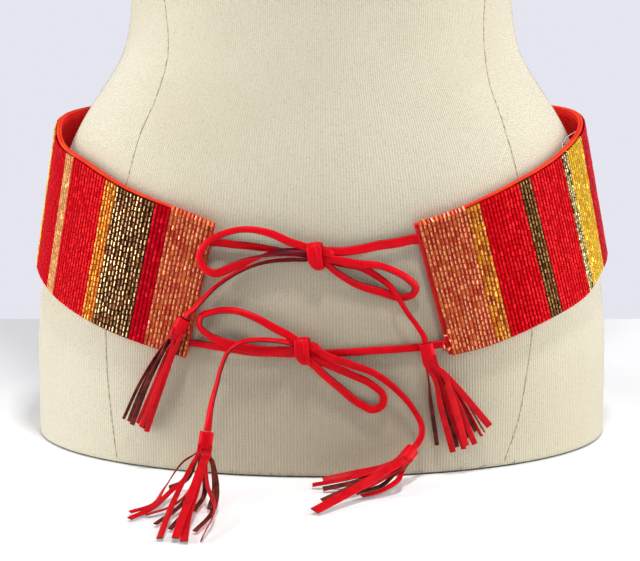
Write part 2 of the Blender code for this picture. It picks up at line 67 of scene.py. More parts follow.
# Sections of the form, bottom to top: height, half width, depth in front of and behind the middle
FORM_SECTIONS = [
    (0.000, 0.1790, 0.1150, 0.1180), (0.030, 0.1793, 0.1150, 0.1210), (0.060, 0.1790, 0.1148, 0.1245),
    (0.085, 0.1774, 0.1132, 0.1262), (0.110, 0.1741, 0.1112, 0.1256), (0.130, 0.1701, 0.1096, 0.1236),
    (0.150, 0.1662, 0.1080, 0.1200), (0.175, 0.1595, 0.1050, 0.1140), (0.193, 0.1515, 0.1018, 0.1085),
    (0.207, 0.1434, 0.0990, 0.1040), (0.225, 0.1314, 0.0955, 0.0985), (0.240, 0.1230, 0.0925, 0.0940),
    (0.255, 0.1190, 0.0898, 0.0905), (0.273, 0.1170, 0.0878, 0.0872), (0.295, 0.1165, 0.0873, 0.0860),
    (0.325, 0.1190, 0.0895, 0.0880), (0.360, 0.1260, 0.0955, 0.0925), (0.400, 0.1350, 0.1035, 0.0975),
    (0.440, 0.1420, 0.1085, 0.1010), (0.480, 0.1470, 0.1070, 0.1035), (0.520, 0.1535, 0.0985, 0.1045),
    (0.560, 0.1630, 0.0860, 0.1020), (0.590, 0.1680, 0.0740, 0.0960), (0.608, 0.1660, 0.0655, 0.0900),
    (0.624, 0.1540, 0.0580, 0.0830), (0.638, 0.1290, 0.0520, 0.0760), (0.650, 0.0990, 0.0480, 0.0690),
    (0.662, 0.0760, 0.0465, 0.0625), (0.678, 0.0620, 0.0465, 0.0570), (0.700, 0.0565, 0.0470, 0.0530),
    (0.740, 0.0545, 0.0465, 0.0515),
]
BUST_HEIGHT = 0.452
BUST_HALF_SPACING = 0.082
BUST_REACH = 0.060
BUST_RISE = 0.016
FORM_HEIGHT = 0.740
FORM_GIRTH = 0.96

# Cover of the form: its rings at the turned-in hem and over the neck (height, distance inside the
# form's surface), how fine it is, and the pitches of its knit
HEM_ROWS = [(0.0022, 0.0600), (0.0022, 0.0009), (0.0015, 0.0007), (0.0012, 0.0003), (0.0015, 0.0)]
NECK_ROWS = [
    (FORM_HEIGHT - 0.0015, 0.0004), (FORM_HEIGHT - 0.0002, 0.0016), (FORM_HEIGHT, 0.0040),
    (FORM_HEIGHT, 0.0200),
]
COVER_ROWS = 165
COVER_COLUMNS = 192
RIB_PITCH = 0.00165
STITCH_PITCH = 0.0011

# Plan of the belt, to the inside of its lining: x of its middle, half width, depth in front, behind
BELT_TOP_PLAN = (-0.0012, 0.1608, 0.1120, 0.1122)
BELT_BOTTOM_PLAN = (0.0002, 0.1753, 0.1182, 0.1268)

# Stations of the belt from its left front end round the back to its right front end:
# turn round the form from the front in degrees and height, first of the top edge, then of the bottom
BELT_STATIONS = [
    (21.9, 0.1505, 26.7, 0.0719), (30.3, 0.1582, 34.9, 0.0767), (44.5, 0.1681, 48.3, 0.0846),
    (60.7, 0.1807, 63.8, 0.0947), (76.0, 0.1867, 76.5, 0.1037), (96.0, 0.1979, 96.0, 0.1136),
    (122.0, 0.2003, 122.0, 0.1173), (150.0, 0.2040, 150.0, 0.1205), (180.0, 0.2050, 180.0, 0.1215),
    (210.0, 0.2040, 210.0, 0.1205), (238.0, 0.2009, 238.0, 0.1180), (264.0, 0.2004, 264.0, 0.1167),
    (284.0, 0.1926, 283.0, 0.1099), (299.9, 0.1823, 295.5, 0.0976), (314.7, 0.1714, 309.9, 0.0887),
    (329.1, 0.1592, 324.8, 0.0784), (340.6, 0.1507, 335.3, 0.0732),
]
PANEL_COLUMNS = 300
PANEL_ROWS = 16
FOLD_STEPS = 420
THREAD_PITCH = 0.00055
FABRIC_TURNED_IN = 0.0016
FABRIC_IN_LEFT = 0.0012

LINING_THICKNESS = 0.0010
FACE_THICKNESS = 0.0010
SEAM_GAP = 0.0003
LINING_SHOWN = LINING_THICKNESS * 0.9
FACE_SHOWN = FACE_THICKNESS * 0.9
FACE_RIPPLE = 0.00008
FACE_OUT = LINING_THICKNESS + SEAM_GAP
BEAD_OUT = FACE_OUT + FACE_THICKNESS + SEAM_GAP
BEADS_BELOW_TOP_EDGE = 0.0008
BEADS_PAST_BOTTOM_EDGE = 0.0005
FABRIC_PAST_BEADS_LEFT = 0.0006
FABRIC_PAST_BEADS_RIGHT = 0.0030

# Stripes of beads from the left front end round the back to the right front end: colour, width
STRIPES = [
    ("peach", 0.0275), ("crimson", 0.0105), ("brown_gold", 0.0275), ("amber", 0.0093),
    ("bright_red", 0.0312), ("tan", 0.0088), ("dark_red", 0.0290), ("yellow_gold", 0.0210),
    ("bright_red", 0.0300), ("brown_gold", 0.0095), ("peach", 0.0290), ("amber", 0.0095),
    ("crimson", 0.0310), ("tan", 0.0095), ("brown_gold", 0.0290), ("yellow_gold", 0.0095),
    ("bright_red", 0.0310), ("olive", 0.0095), ("peach", 0.0290), ("crimson", 0.0100),
    ("amber", 0.0270), ("dark_red", 0.0310), ("brown_gold", 0.0100), ("tan", 0.0280),
    ("bright_red", 0.0310), ("yellow_gold", 0.0095), ("olive", 0.0270), ("peach", 0.0290),
    ("amber", 0.0095), ("crimson", 0.0290), ("yellow_gold", 0.0215), ("speckled", 0.0060),
    ("bright_red", 0.0290), ("olive", 0.0092), ("bright_red", 0.0292), ("gold", 0.0098),
    ("peach", 0.0290),
]
COLUMN_PITCH = 0.00244
BEAD_LENGTH = 0.00325
BEAD_DEPTH = 0.00185
FINE_BEAD = (0.0020, 0.0022)
BEAD_OVERLAP = 1.10
BEAD_ROLL = math.pi / 6

# How much single beads differ: share of the length, then sideways, outwards, in lean and in roll
LENGTH_SPREAD = 0.15
SWAY_SPREAD = 0.00003
LIFT_SPREAD = 0.00005
LEAN_SPREAD = 0.02
ROLL_SPREAD = 0.16

# Beads along the top edge of the end stripes: share of the pitch, depth, length, how far they lean in
EDGE_BEAD = (0.98, 0.0018, 0.0033)
EDGE_BEAD_LEAN = 0.28

# Glass of each stripe's beads, and of the clear ones along the top edge over peach cloth: deep colour
# (painted shade at the sides and ends), main, pale and glint colours (the glint a painted highlight),
# strength of the painted highlight streak, metal shine, and how seldom there is a streak
BEAD_GLASS = {
    "peach": (
        (0.60, 0.15, 0.08), (0.66, 0.20, 0.13), (0.74, 0.36, 0.19), (1.0, 0.78, 0.60), 0.7, 0.3),
    "crimson": (
        (0.46, 0.0, 0.04), (0.63, 0.0, 0.07), (0.69, 0.0, 0.08), (0.82, 0.08, 0.12), 0.4, 0.2),
    "brown_gold": (
        (0.12, 0.04, 0.02), (0.24, 0.10, 0.04), (0.36, 0.18, 0.07), (1.0, 0.88, 0.64), 1.0, 0.3, 0.06),
    "amber": (
        (0.42, 0.15, 0.03), (0.62, 0.28, 0.05), (0.74, 0.41, 0.09), (1.0, 0.82, 0.42), 0.6, 0.3),
    "bright_red": (
        (0.52, 0.0, 0.03), (0.71, 0.0, 0.05), (0.76, 0.0, 0.06), (0.92, 0.20, 0.18), 0.4, 0.15),
    "tan": (
        (0.52, 0.26, 0.12), (0.78, 0.50, 0.28), (0.86, 0.62, 0.38), (1.0, 0.88, 0.66), 0.6, 0.3),
    "dark_red": (
        (0.46, 0.0, 0.04), (0.70, 0.0, 0.06), (0.74, 0.0, 0.07), (0.80, 0.03, 0.08), 0.3, 0.0),
    "yellow_gold": (
        (0.56, 0.34, 0.03), (0.78, 0.56, 0.08), (0.84, 0.68, 0.15), (1.0, 0.93, 0.50), 0.7, 0.35),
    "olive": (
        (0.11, 0.05, 0.02), (0.23, 0.13, 0.05), (0.34, 0.22, 0.09), (0.72, 0.55, 0.32), 0.6, 0.3),
    "speckled": (
        (0.05, 0.04, 0.02), (0.10, 0.07, 0.03), (0.72, 0.60, 0.34), (1.0, 0.97, 0.80), 1.0, 0.25),
    "gold": (
        (0.50, 0.16, 0.04), (0.62, 0.24, 0.11), (0.80, 0.48, 0.11), (1.0, 0.86, 0.48), 0.8, 0.35),
    "clear_edge": (
        (0.68, 0.14, 0.06), (0.84, 0.28, 0.12), (0.93, 0.50, 0.28), (1.0, 0.98, 0.90), 1.0, 0.2, 0.35),
}

# Routes of the laces in millimetres: x, height, and how far the middle of the lace lies in front of
# the form
LACE_ROUTES = {
    "lace_run_top_left": [
        (-62.3, 140.3, 3.4), (-52.5, 139.5, 3.2), (-42.5, 138.8, 2.8), (-30.2, 137.3, 2.4),
        (-19.1, 135.7, 2.2), (-9.2, 134.8, 2.4),
    ],
    "lace_run_top_right": [
        (53.4, 142.4, 3.6), (44.0, 140.8, 3.6), (32.8, 139.6, 4.2), (22.3, 137.8, 5.2),
        (11.8, 136.8, 6.2), (1.8, 136.8, 6.2),
    ],
    "lace_run_bottom_left": [
        (-75.4, 80.1, 3.6), (-67.0, 79.2, 3.4), (-53.4, 77.5, 3.0), (-39.8, 75.8, 2.6),
        (-26.9, 75.6, 2.4), (-15.7, 75.5, 2.4),
    ],
    "lace_run_bottom_right": [
        (70.3, 79.8, 3.6), (58.5, 78.6, 2.6), (44.8, 78.0, 2.6), (30.1, 77.5, 2.4), (14.8, 76.8, 2.4),
        (-5.4, 76.3, 2.4),
    ],
    "lace_loop_top_left": [
        (-9.2, 139.2, 6.6), (-18.5, 142.4, 7.0), (-30.1, 147.4, 7.6), (-44.7, 149.5, 8.6),
        (-58.1, 146.5, 10.4), (-68.4, 139.9, 11.6), (-71.5, 133.7, 11.8), (-69.7, 127.6, 11.6),
        (-63.5, 123.6, 11.2), (-52.4, 127.2, 9.6), (-40.7, 132.0, 7.8), (-24.3, 136.3, 7.0),
        (-9.2, 135.7, 6.6),
    ],
    "lace_loop_top_right": [
        (2.0, 133.1, 7.0), (10.6, 131.8, 7.8), (20.5, 129.7, 7.2), (32.2, 128.6, 7.0),
        (43.4, 124.3, 6.2), (52.3, 118.1, 5.4), (55.2, 114.4, 4.8), (53.8, 110.5, 4.2),
        (47.6, 108.6, 3.4), (34.7, 112.1, 3.0), (20.6, 116.9, 3.4), (8.9, 124.2, 4.8),
        (3.1, 129.1, 6.2),
    ],
    "lace_loop_bottom_left": [
        (-17.4, 86.4, 6.6), (-27.0, 91.5, 7.0), (-39.6, 98.0, 7.0), (-49.0, 101.1, 7.0),
        (-63.2, 100.5, 8.2), (-71.1, 97.3, 10.6), (-71.6, 92.1, 10.8), (-66.1, 86.7, 9.6),
        (-53.2, 81.6, 7.6), (-35.0, 78.6, 7.0), (-16.5, 78.7, 6.6),
    ],
    "lace_loop_bottom_right": [
        (-4.5, 74.1, 6.4), (4.8, 69.9, 6.0), (17.7, 63.9, 5.2), (29.2, 57.8, 4.4), (36.4, 50.0, 3.8),
        (35.5, 44.8, 3.6), (30.5, 42.4, 3.6), (23.7, 45.4, 3.6), (10.7, 55.9, 4.0), (1.0, 64.5, 5.2),
        (-4.2, 70.0, 6.4),
    ],
    "lace_tail_top_left": [
        (-8.3, 132.4, 6.6), (-18.8, 131.8, 5.6), (-29.0, 130.5, 4.2), (-40.8, 127.2, 3.4),
        (-53.2, 121.0, 4.0), (-64.3, 113.1, 7.8), (-70.1, 107.2, 10.6), (-75.2, 101.8, 11.6),
    ],
    "lace_tail_top_right": [
        (2.6, 131.3, 2.6), (11.8, 129.0, 2.2), (22.9, 126.6, 2.2), (32.9, 120.8, 2.6),
        (40.5, 115.1, 5.0), (45.3, 108.3, 7.8), (49.9, 100.6, 7.4), (56.1, 92.1, 8.2),
    ],
    "lace_tail_bottom_left": [
        (-17.9, 83.0, 6.6), (-26.1, 85.3, 11.0), (-37.8, 85.7, 11.6), (-47.2, 83.9, 11.6),
        (-54.4, 78.4, 11.2), (-58.5, 70.0, 14.0), (-61.4, 59.8, 19.0), (-64.4, 48.9, 24.0),
    ],
    "lace_tail_bottom_right": [
        (-5.7, 79.2, 6.8), (4.8, 75.6, 9.6), (17.7, 70.8, 9.2), (30.0, 65.4, 7.0), (43.7, 54.5, 5.0),
        (53.9, 42.1, 4.8), (59.1, 31.3, 6.4), (58.4, 25.3, 9.0),
    ],
}

# How each lace shows its width and turns its good side, at even steps from its first row to its last:
# widths in millimetres, then turns from facing forwards in degrees
LACE_LOOKS = {
    "lace_run_top_left": ((5.0, 4.8, 4.2, 3.6), (0, 10, 30, 20)),
    "lace_run_top_right": ((6.2, 6.0, 5.6, 4.6), (0, -5, 5, 10)),
    "lace_run_bottom_left": ((4.6, 4.4, 4.0, 3.8), (10, 15, 20, 20)),
    "lace_run_bottom_right": ((4.8, 4.6, 4.6, 4.4), (0, 15, 10, 10)),
    "lace_loop_top_left": (
        (4.8, 4.8, 4.0, 4.2, 4.8, 5.8, 5.8, 5.0), (0, 8, 28, 20, 0, 30, 120, 155)),
    "lace_loop_top_right": (
        (4.8, 5.0, 4.4, 4.6, 4.8, 5.4, 4.6, 3.8), (0, 0, -30, -25, -12, -22, -30, -20)),
    "lace_loop_bottom_left": (
        (5.0, 4.8, 4.4, 4.2, 5.0, 5.6, 5.4, 5.0), (0, 10, 32, 40, 20, -5, -5, 10)),
    "lace_loop_bottom_right": (
        (5.2, 5.0, 4.8, 4.6, 4.8, 5.4, 5.6, 5.2), (0, 10, 15, 20, 5, -22, -30, -15)),
    "lace_tail_top_left": ((3.6, 3.6, 3.4, 3.8, 4.2), (120, 115, 80, 60, 35)),
    "lace_tail_top_right": ((4.4, 4.8, 4.4, 4.0, 4.0), (20, 10, 40, 58, 50)),
    "lace_tail_bottom_left": ((3.6, 3.4, 3.4, 3.8, 4.8), (50, 56, 58, 42, 5)),
    "lace_tail_bottom_right": ((4.4, 4.8, 4.6, 4.2, 4.0), (10, 15, 30, 48, 40)),
}
LACE_RED = (0.83, 0.0, 0.08)
LACE_THICKNESS = 0.0020
LACE_PUFF = (0.5, 0.9)
LACE_STEP = 0.0015
STRIP_CORNERS = 12
STRIP_PUFF = (0.38, 0.5)
STRIP_END_ON_MAP = 0.75
TAIL_STRAIGHT_END = 0.0030
INTO_KNOT = (0.75, 0.80, 0.50)
INTO_BELT = 0.0030

# Knots of the bows in millimetres: x, height, distance in front of the form, then lean in degrees
KNOTS = {
    "knot_top": (-3.6, 133.9, 5.6, 5.0),
    "knot_bottom": (-11.2, 78.2, 5.6, 4.0),
}

# Bands wound round each knot, in millimetres: shift of their middle, half height, half depth and width,
# then turns, start of the winding, lean more than the knot's own, and how far the band bows sideways
KNOT_BANDS = {
    "under": ((0.0, 0.0, 0.0), (5.4, 2.6, 5.6), 1.1, -2.6, 0.0, 0.0),
    "wrap": ((0.0, 0.0, 0.0), (7.5, 4.0, 8.4), 1.12, -2.4, 0.0, 0.6),
    "pleat": ((2.6, -0.5, 0.2), (7.1, 4.1, 3.4), 1.1, -2.4, 0.05, 0.4),
}
TUCK_ROUTE = ((1.2, 1.2, 3.0), (4.0, -1.6, 3.6), (7.4, -2.2, 2.6), (10.8, 0.4, 0.2))
TUCK_WIDTHS = (4.8, 5.8, 5.2, 3.0)
TUCK_THICKNESS = 0.0026
TUCK_PUFF = (0.6, 1.0)
TUCK_STEP = 0.0005
BAND_PUFF = (0.55, 1.0)
BAND_STEPS_A_TURN = 44
BAND_ROUNDING = 0.85
BAND_WIDER_ABOVE = 0.08
BAND_NARROWER_BELOW = 0.42
BAND_ASIDE_BELOW = 0.20

# Tassels: the top and the bottom of the head, then each strip: its width, its turn from facing
# forwards in degrees at the head and at the tip, and its bends and tip. Every spot is given as x,
# height and distance in front of the form, all in millimetres.
TASSELS = {
    "tassel_top_left": {
        "head": [(-80.3, 96.1, 11.8), (-85.2, 86.8, 11.6)],
        "strips": [
            (2.0, (90, 160), [(-96.7, 74.8, 11.0), (-108.1, 54.5, 9.0), (-119.0, 30.1, 5.0)]),
            (2.4, (150, 180), [(-95.6, 73.2, 9.0), (-106.4, 52.3, 7.0), (-116.0, 28.5, 3.0)]),
            (3.0, (120, 175), [(-92.3, 78.5, 12.5), (-101.7, 59.0, 12.0), (-113.5, 28.0, 8.0)]),
            (2.6, (10, 30), [(-90.7, 75.1, 10.0), (-99.5, 54.2, 9.0), (-110.2, 28.9, 6.0)]),
            (3.2, (0, 15), [(-88.1, 78.5, 13.5), (-95.6, 58.5, 12.5), (-107.8, 27.6, 9.5)]),
            (2.6, (160, 200), [(-92.1, 69.8, 8.0), (-99.2, 49.2, 6.0), (-107.1, 25.5, 3.5)]),
            (3.4, (-5, -20), [(-86.3, 77.4, 13.0), (-94.1, 56.1, 12.0), (-104.5, 25.0, 8.5)]),
            (3.0, (-30, -10), [(-88.3, 75.3, 10.0), (-95.9, 52.5, 8.0), (-104.2, 26.6, 4.0)]),
        ],
    },
    "tassel_top_right": {
        "head": [(61.0, 82.2, 9.4), (63.4, 71.8, 9.2)],
        "strips": [
            (2.6, (80, 175), [(62.0, 64.3, 6.0), (64.3, 46.8, 4.0), (68.5, 18.8, 3.5)]),
            (3.8, (0, 10), [(65.9, 61.8, 11.5), (70.3, 43.2, 10.5), (77.9, 15.0, 8.0)]),
            (3.0, (200, 175), [(68.0, 59.2, 6.0), (74.3, 38.8, 4.0), (80.6, 16.4, 2.5)]),
            (3.4, (15, 30), [(69.7, 59.5, 8.0), (76.0, 39.1, 6.0), (84.8, 15.3, 4.5)]),
            (4.4, (-10, -20), [(70.8, 65.8, 14.5), (76.0, 51.5, 14.0), (85.7, 18.1, 8.5)]),
            (3.0, (170, 190), [(72.5, 58.7, 5.5), (80.3, 39.4, 3.5), (86.7, 21.3, 2.5)]),
            (3.6, (10, 0), [(71.3, 62.4, 10.5), (79.9, 45.8, 9.5), (91.1, 18.4, 7.0)]),
            (2.6, (180, 165), [(73.6, 59.0, 7.0), (82.6, 42.6, 5.0), (92.1, 25.2, 2.8)]),
            (2.4, (60, 50), [(74.1, 59.5, 9.0), (84.3, 43.6, 7.0), (95.4, 22.2, 4.5)]),
            (2.2, (110, 75), [(74.8, 59.9, 6.0), (85.7, 44.1, 4.5), (97.3, 24.1, 3.0)]),
            (4.2, (-10, 0), [(73.3, 63.1, 11.5), (85.2, 48.1, 10.5), (100.0, 28.7, 7.5)]),
        ],
    },
    "tassel_bottom_left": {
        "head": [(-66.7, 34.0, 28.8), (-68.3, 23.5, 31.0)],
        "strips": [
            (2.8, (150, 10), [(-80.2, 17.5, 37.2), (-90.3, 6.5, 56.8), (-97.2, 3.0, 85.7),
                (-107.8, 2.4, 100.1)]),
            (3.4, (20, 5), [(-73.0, 19.0, 38.2), (-79.1, 10.0, 46.4), (-86.6, 5.5, 60.2),
                (-95.8, 3.0, 89.0), (-107.2, 2.2, 111.5)]),
            (3.0, (150, 180), [(-73.6, 17.5, 37.3), (-78.9, 7.0, 40.1), (-88.9, 2.2, 42.6)]),
            (2.8, (60, 30), [(-71.2, 16.5, 39.5), (-77.5, 6.0, 66.9), (-88.4, 3.0, 88.1),
                (-98.5, 2.2, 100.0)]),
            (3.8, (15, 10), [(-74.8, 19.5, 49.0), (-82.1, 9.0, 76.5), (-86.4, 4.5, 118.8),
                (-88.1, 2.2, 139.5)]),
            (2.8, (170, 190), [(-71.3, 15.0, 49.0), (-78.4, 5.5, 81.3), (-92.0, 2.2, 115.3)]),
            (2.8, (160, 175), [(-69.7, 14.0, 57.5), (-75.1, 5.5, 90.0), (-83.4, 2.2, 121.5)]),
            (4.6, (0, 5), [(-67.5, 21.4, 53.7), (-71.1, 13.0, 82.7), (-74.3, 6.0, 114.2),
                (-74.6, 2.2, 140.4)]),
            (4.6, (0, 0), [(-68.8, 22.6, 58.3), (-72.8, 14.4, 87.9), (-77.1, 7.4, 119.6),
                (-79.3, 3.0, 139.0)]),
            (3.0, (175, 185), [(-68.1, 15.0, 43.9), (-67.0, 6.5, 55.5), (-72.0, 2.2, 84.0)]),
            (3.2, (10, 70), [(-66.4, 20.0, 52.7), (-64.6, 12.5, 69.3), (-60.1, 8.5, 88.3),
                (-65.2, 2.2, 135.1)]),
            (3.0, (170, 190), [(-62.6, 19.0, 41.8), (-59.7, 12.0, 62.4), (-61.1, 5.0, 92.4),
                (-69.5, 2.2, 120.9)]),
            (2.6, (130, 150), [(-63.6, 16.5, 39.6), (-62.0, 8.0, 51.3), (-63.7, 2.5, 79.0)]),
        ],
    },
    "tassel_bottom_right": {
        "head": [(53.8, 19.7, 12.0), (47.7, 14.4, 18.0)],
        "strips": [
            (4.6, (0, -10), [(37.0, 12.9, 22.0), (17.7, 7.5, 18.0), (0.7, 4.3, 20.0)]),
            (3.4, (0, 10), [(35.1, 12.9, 26.0), (16.5, 7.4, 26.0), (-5.4, 2.4, 23.0)]),
            (3.6, (170, 185), [(36.4, 9.3, 22.0), (19.3, 6.0, 29.7), (0.7, 2.2, 30.5)]),
            (3.2, (160, 175), [(33.9, 9.9, 28.0), (17.4, 6.0, 39.9), (0.1, 2.2, 53.8)]),
            (6.4, (0, 5), [(36.5, 14.5, 38.0), (19.0, 8.3, 52.0), (-4.1, 2.6, 75.7)]),
            (3.4, (10, 20), [(41.0, 9.7, 26.0), (30.9, 5.7, 32.0), (11.6, 3.0, 45.7), (4.7, 2.2, 52.8)]),
            (2.6, (175, 160), [(43.3, 9.5, 25.8), (36.3, 4.0, 28.7), (19.8, 2.2, 39.4)]),
            (4.0, (5, 20), [(47.3, 9.2, 21.0), (43.0, 7.0, 35.9), (34.2, 3.5, 41.1), (23.1, 2.4, 46.4)]),
        ],
    },
}
HEAD_LENGTH = 0.0110
HEAD_WIDTH = 0.0084
HEAD_DEPTH = 0.0060
ROLL_START = -2.3
ROLL_TURNS = 1.85
ROLL_STEPS = 64
ROLL_INSIDE = 0.80
ROLL_CLIMB = 0.0004
ROLL_THICKNESS = 0.0009
CORE_SHARES = (0.06, 0.90)
CORE_WIDTH = 0.0062
CORE_THICKNESS = 0.0038
STRIP_THICKNESS = 0.0008
STRIP_STEP = 0.0016
STRIP_IN_HEAD = 0.0035
FRONT_STRIPS_AHEAD = 0.40
BACK_STRIPS_AHEAD = -0.30
HANGING_FACES = (0.0, -1.0, 0.26)
LYING_FACES = (0.0, -0.55, 0.85)

# Loose loop of thread at the belt's right end: its reach, and the size of the beads on it
THREAD_LOOP = 0.0042
LOOP_BEAD = (0.0018, 0.0017, 0.0028)
THREAD_STEP = 0.0007

# Loose white thread on the lining at the right: where it hangs, and its bends in millimetres along,
# below and inside the belt's top edge
WHITE_THREAD_X = 0.1535
WHITE_THREAD_BENDS = ((-12.0, 0.8, 0.9), (-6.0, 0.6, 4.0), (0.0, 1.2, 5.6), (6.0, 2.4, 5.0), (10.0, 4.4, 1.6))

# Stretches of the hem with frayed threads, in millimetres: first x, last x, number of threads
FRAYED_AT = [(-55.0, -5.0, 9), (40.0, 120.0, 5)]

# Seams of the form's cover in millimetres, as x and height: two on its front, the one down the middle
# of its back, and one that its back has on both sides
SEAM_STEP = 0.004
SEAM_LIFT = 0.00005
SEAM_WIDTH = 0.0007
SEAM_DEPTH = 0.0004
SIDE_SEAM_HEIGHTS = (0.003, 0.600)
SHOULDER_SEAM_X = (0.058, 0.160)
FRONT_SEAMS = [
    [
        (-124.2, 3.3), (-125.8, 16.8), (-129.0, 49.9), (-130.0, 79.4), (-126.2, 130.0), (-114.3, 178.1),
        (-108.5, 198.4), (-100.5, 216.3), (-95.7, 229.1), (-91.9, 244.3), (-91.6, 258.8),
        (-92.4, 266.4), (-93.6, 276.8), (-92.5, 320.0), (-88.0, 390.0), (-84.0, 452.0), (-86.0, 520.0),
        (-94.0, 590.0), (-100.0, 635.0),
    ],
    [
        (110.4, 3.8), (118.9, 29.2), (122.7, 51.6), (126.4, 79.4), (124.8, 130.0), (114.0, 185.8),
        (107.2, 208.4), (100.2, 228.7), (97.5, 247.2), (96.9, 267.7), (97.5, 276.5), (93.5, 320.0),
        (88.5, 390.0), (84.0, 452.0), (86.0, 520.0), (94.0, 590.0), (100.0, 635.0),
    ],
]
BACK_SEAM = [(0.0, 3.3), (0.0, 200.0), (0.0, 300.0), (0.0, 450.0), (0.0, 600.0), (0.0, 738.0)]
BACK_SIDE_SEAM = [(95.0, 3.5), (95.0, 130.0), (78.0, 270.0), (86.0, 400.0), (98.0, 520.0), (99.0, 635.0)]


# Shapes

def smooth_through(places, values, at):
    """Values of a smooth curve through a table's rows (a cubic with slopes from its neighbours)."""
    places = np.asarray(places, dtype=float)
    values = np.asarray(values, dtype=float)
    slopes = np.gradient(values, places, axis=0)
    at = np.clip(np.atleast_1d(at), places[0], places[-1])
    low = np.clip(np.searchsorted(places, at, side="right") - 1, 0, len(places) - 2)
    step = places[low + 1] - places[low]
    t = (at - places[low]) / step
    if values.ndim > 1:
        t = t[:, None]
        step = step[:, None]
    start = (1 + 2 * t) * (1 - t) ** 2 * values[low] + t * (1 - t) ** 2 * step * slopes[low]
    end = t ** 2 * (3 - 2 * t) * values[low + 1] + t ** 2 * (t - 1) * step * slopes[low + 1]
    return start + end


def evenly(values, count):
    """A short list of values, read smoothly at an even number of places."""
    return smooth_through(np.arange(len(values)), values, np.linspace(0, len(values) - 1, count))


def form_section(height):
    """Half width, front depth and back depth of the form at one height."""
    table = np.array(FORM_SECTIONS)
    return smooth_through(table[:, 0], table[:, 1:], height)[0]


def form_front(x, height):
    """Y of the form's front surface below the waist."""
    half_width, front, _ = form_section(height)
    return -front * math.sqrt(max(0.0, 1.0 - (x / half_width) ** 2))


def on_front(spot):
    """A point, given in millimetres by x, height and distance in front of the form."""
    x, height, distance = np.array(spot) / 1000.0
    return np.array((x, form_front(x, height) - distance, height))


def unit(rows):
    rows = np.asarray(rows, dtype=float)
    return rows / np.linalg.norm(rows, axis=-1, keepdims=True)


def measured(points):
    """Distances along a line of points, from 0 at its first."""
    steps = np.linalg.norm(np.diff(points, axis=0), axis=1)
    return np.concatenate(([0.0], np.cumsum(steps)))


def line_through(corners, step):
    """Even points along one smooth curve through the corners."""
    corners = np.array(corners)
    places = measured(corners)
    count = max(4, int(round(places[-1] / step)) + 1)
    return smooth_through(places, corners, np.linspace(0.0, places[-1], count))


def plan_point(plan, turn_degrees, height):
    """A point of a belt edge, on the half ellipse in front of or behind the form's middle."""
    centre_x, half_width, front, back = plan
    turn = math.radians(turn_degrees)
    depth = back if math.cos(turn) < 0 else front
    return np.array((centre_x - half_width * math.sin(turn), -depth * math.cos(turn), height))


class BeltSurface:
    """The inner face of the belt, ruled from its top edge to its bottom edge."""

    SAMPLES = 1600

    def __init__(self):
        places = np.arange(len(BELT_STATIONS), dtype=float)
        fine = smooth_through(places, BELT_STATIONS, np.linspace(0, places[-1], self.SAMPLES))
        self.top = np.array([plan_point(BELT_TOP_PLAN, row[0], row[1]) for row in fine])
        self.bottom = np.array([plan_point(BELT_BOTTOM_PLAN, row[2], row[3]) for row in fine])
        self.distance = measured((self.top + self.bottom) / 2)
        self.length = self.distance[-1]
        along = np.gradient((self.top + self.bottom) / 2, self.distance, axis=0)
        self.outward = unit(np.cross(self.top - self.bottom, along))

    def read(self, rows, distances):
        return np.array([np.interp(distances, self.distance, rows[:, axis]) for axis in range(3)]).T

    def crosswise(self, distances):
        """Top and bottom points of crosswise lines, with their outward and down directions."""
        top, bottom = self.read(self.top, distances), self.read(self.bottom, distances)
        return top, bottom, unit(self.read(self.outward, distances)), unit(bottom - top)

    def across(self, distance):
        """The same four of one line."""
        return [rows[0] for rows in self.crosswise(np.array([distance]))]


belt = BeltSurface()


# Paint and finishes

def paint(colour):
    """A colour as it looks on a card, for a shader's socket."""
    return tuple(c / 12.92 if c <= 0.04045 else ((c + 0.055) / 1.055) ** 2.4 for c in colour) + (1.0,)


def dimmed(colour, share):
    return tuple(part * share for part in colour)


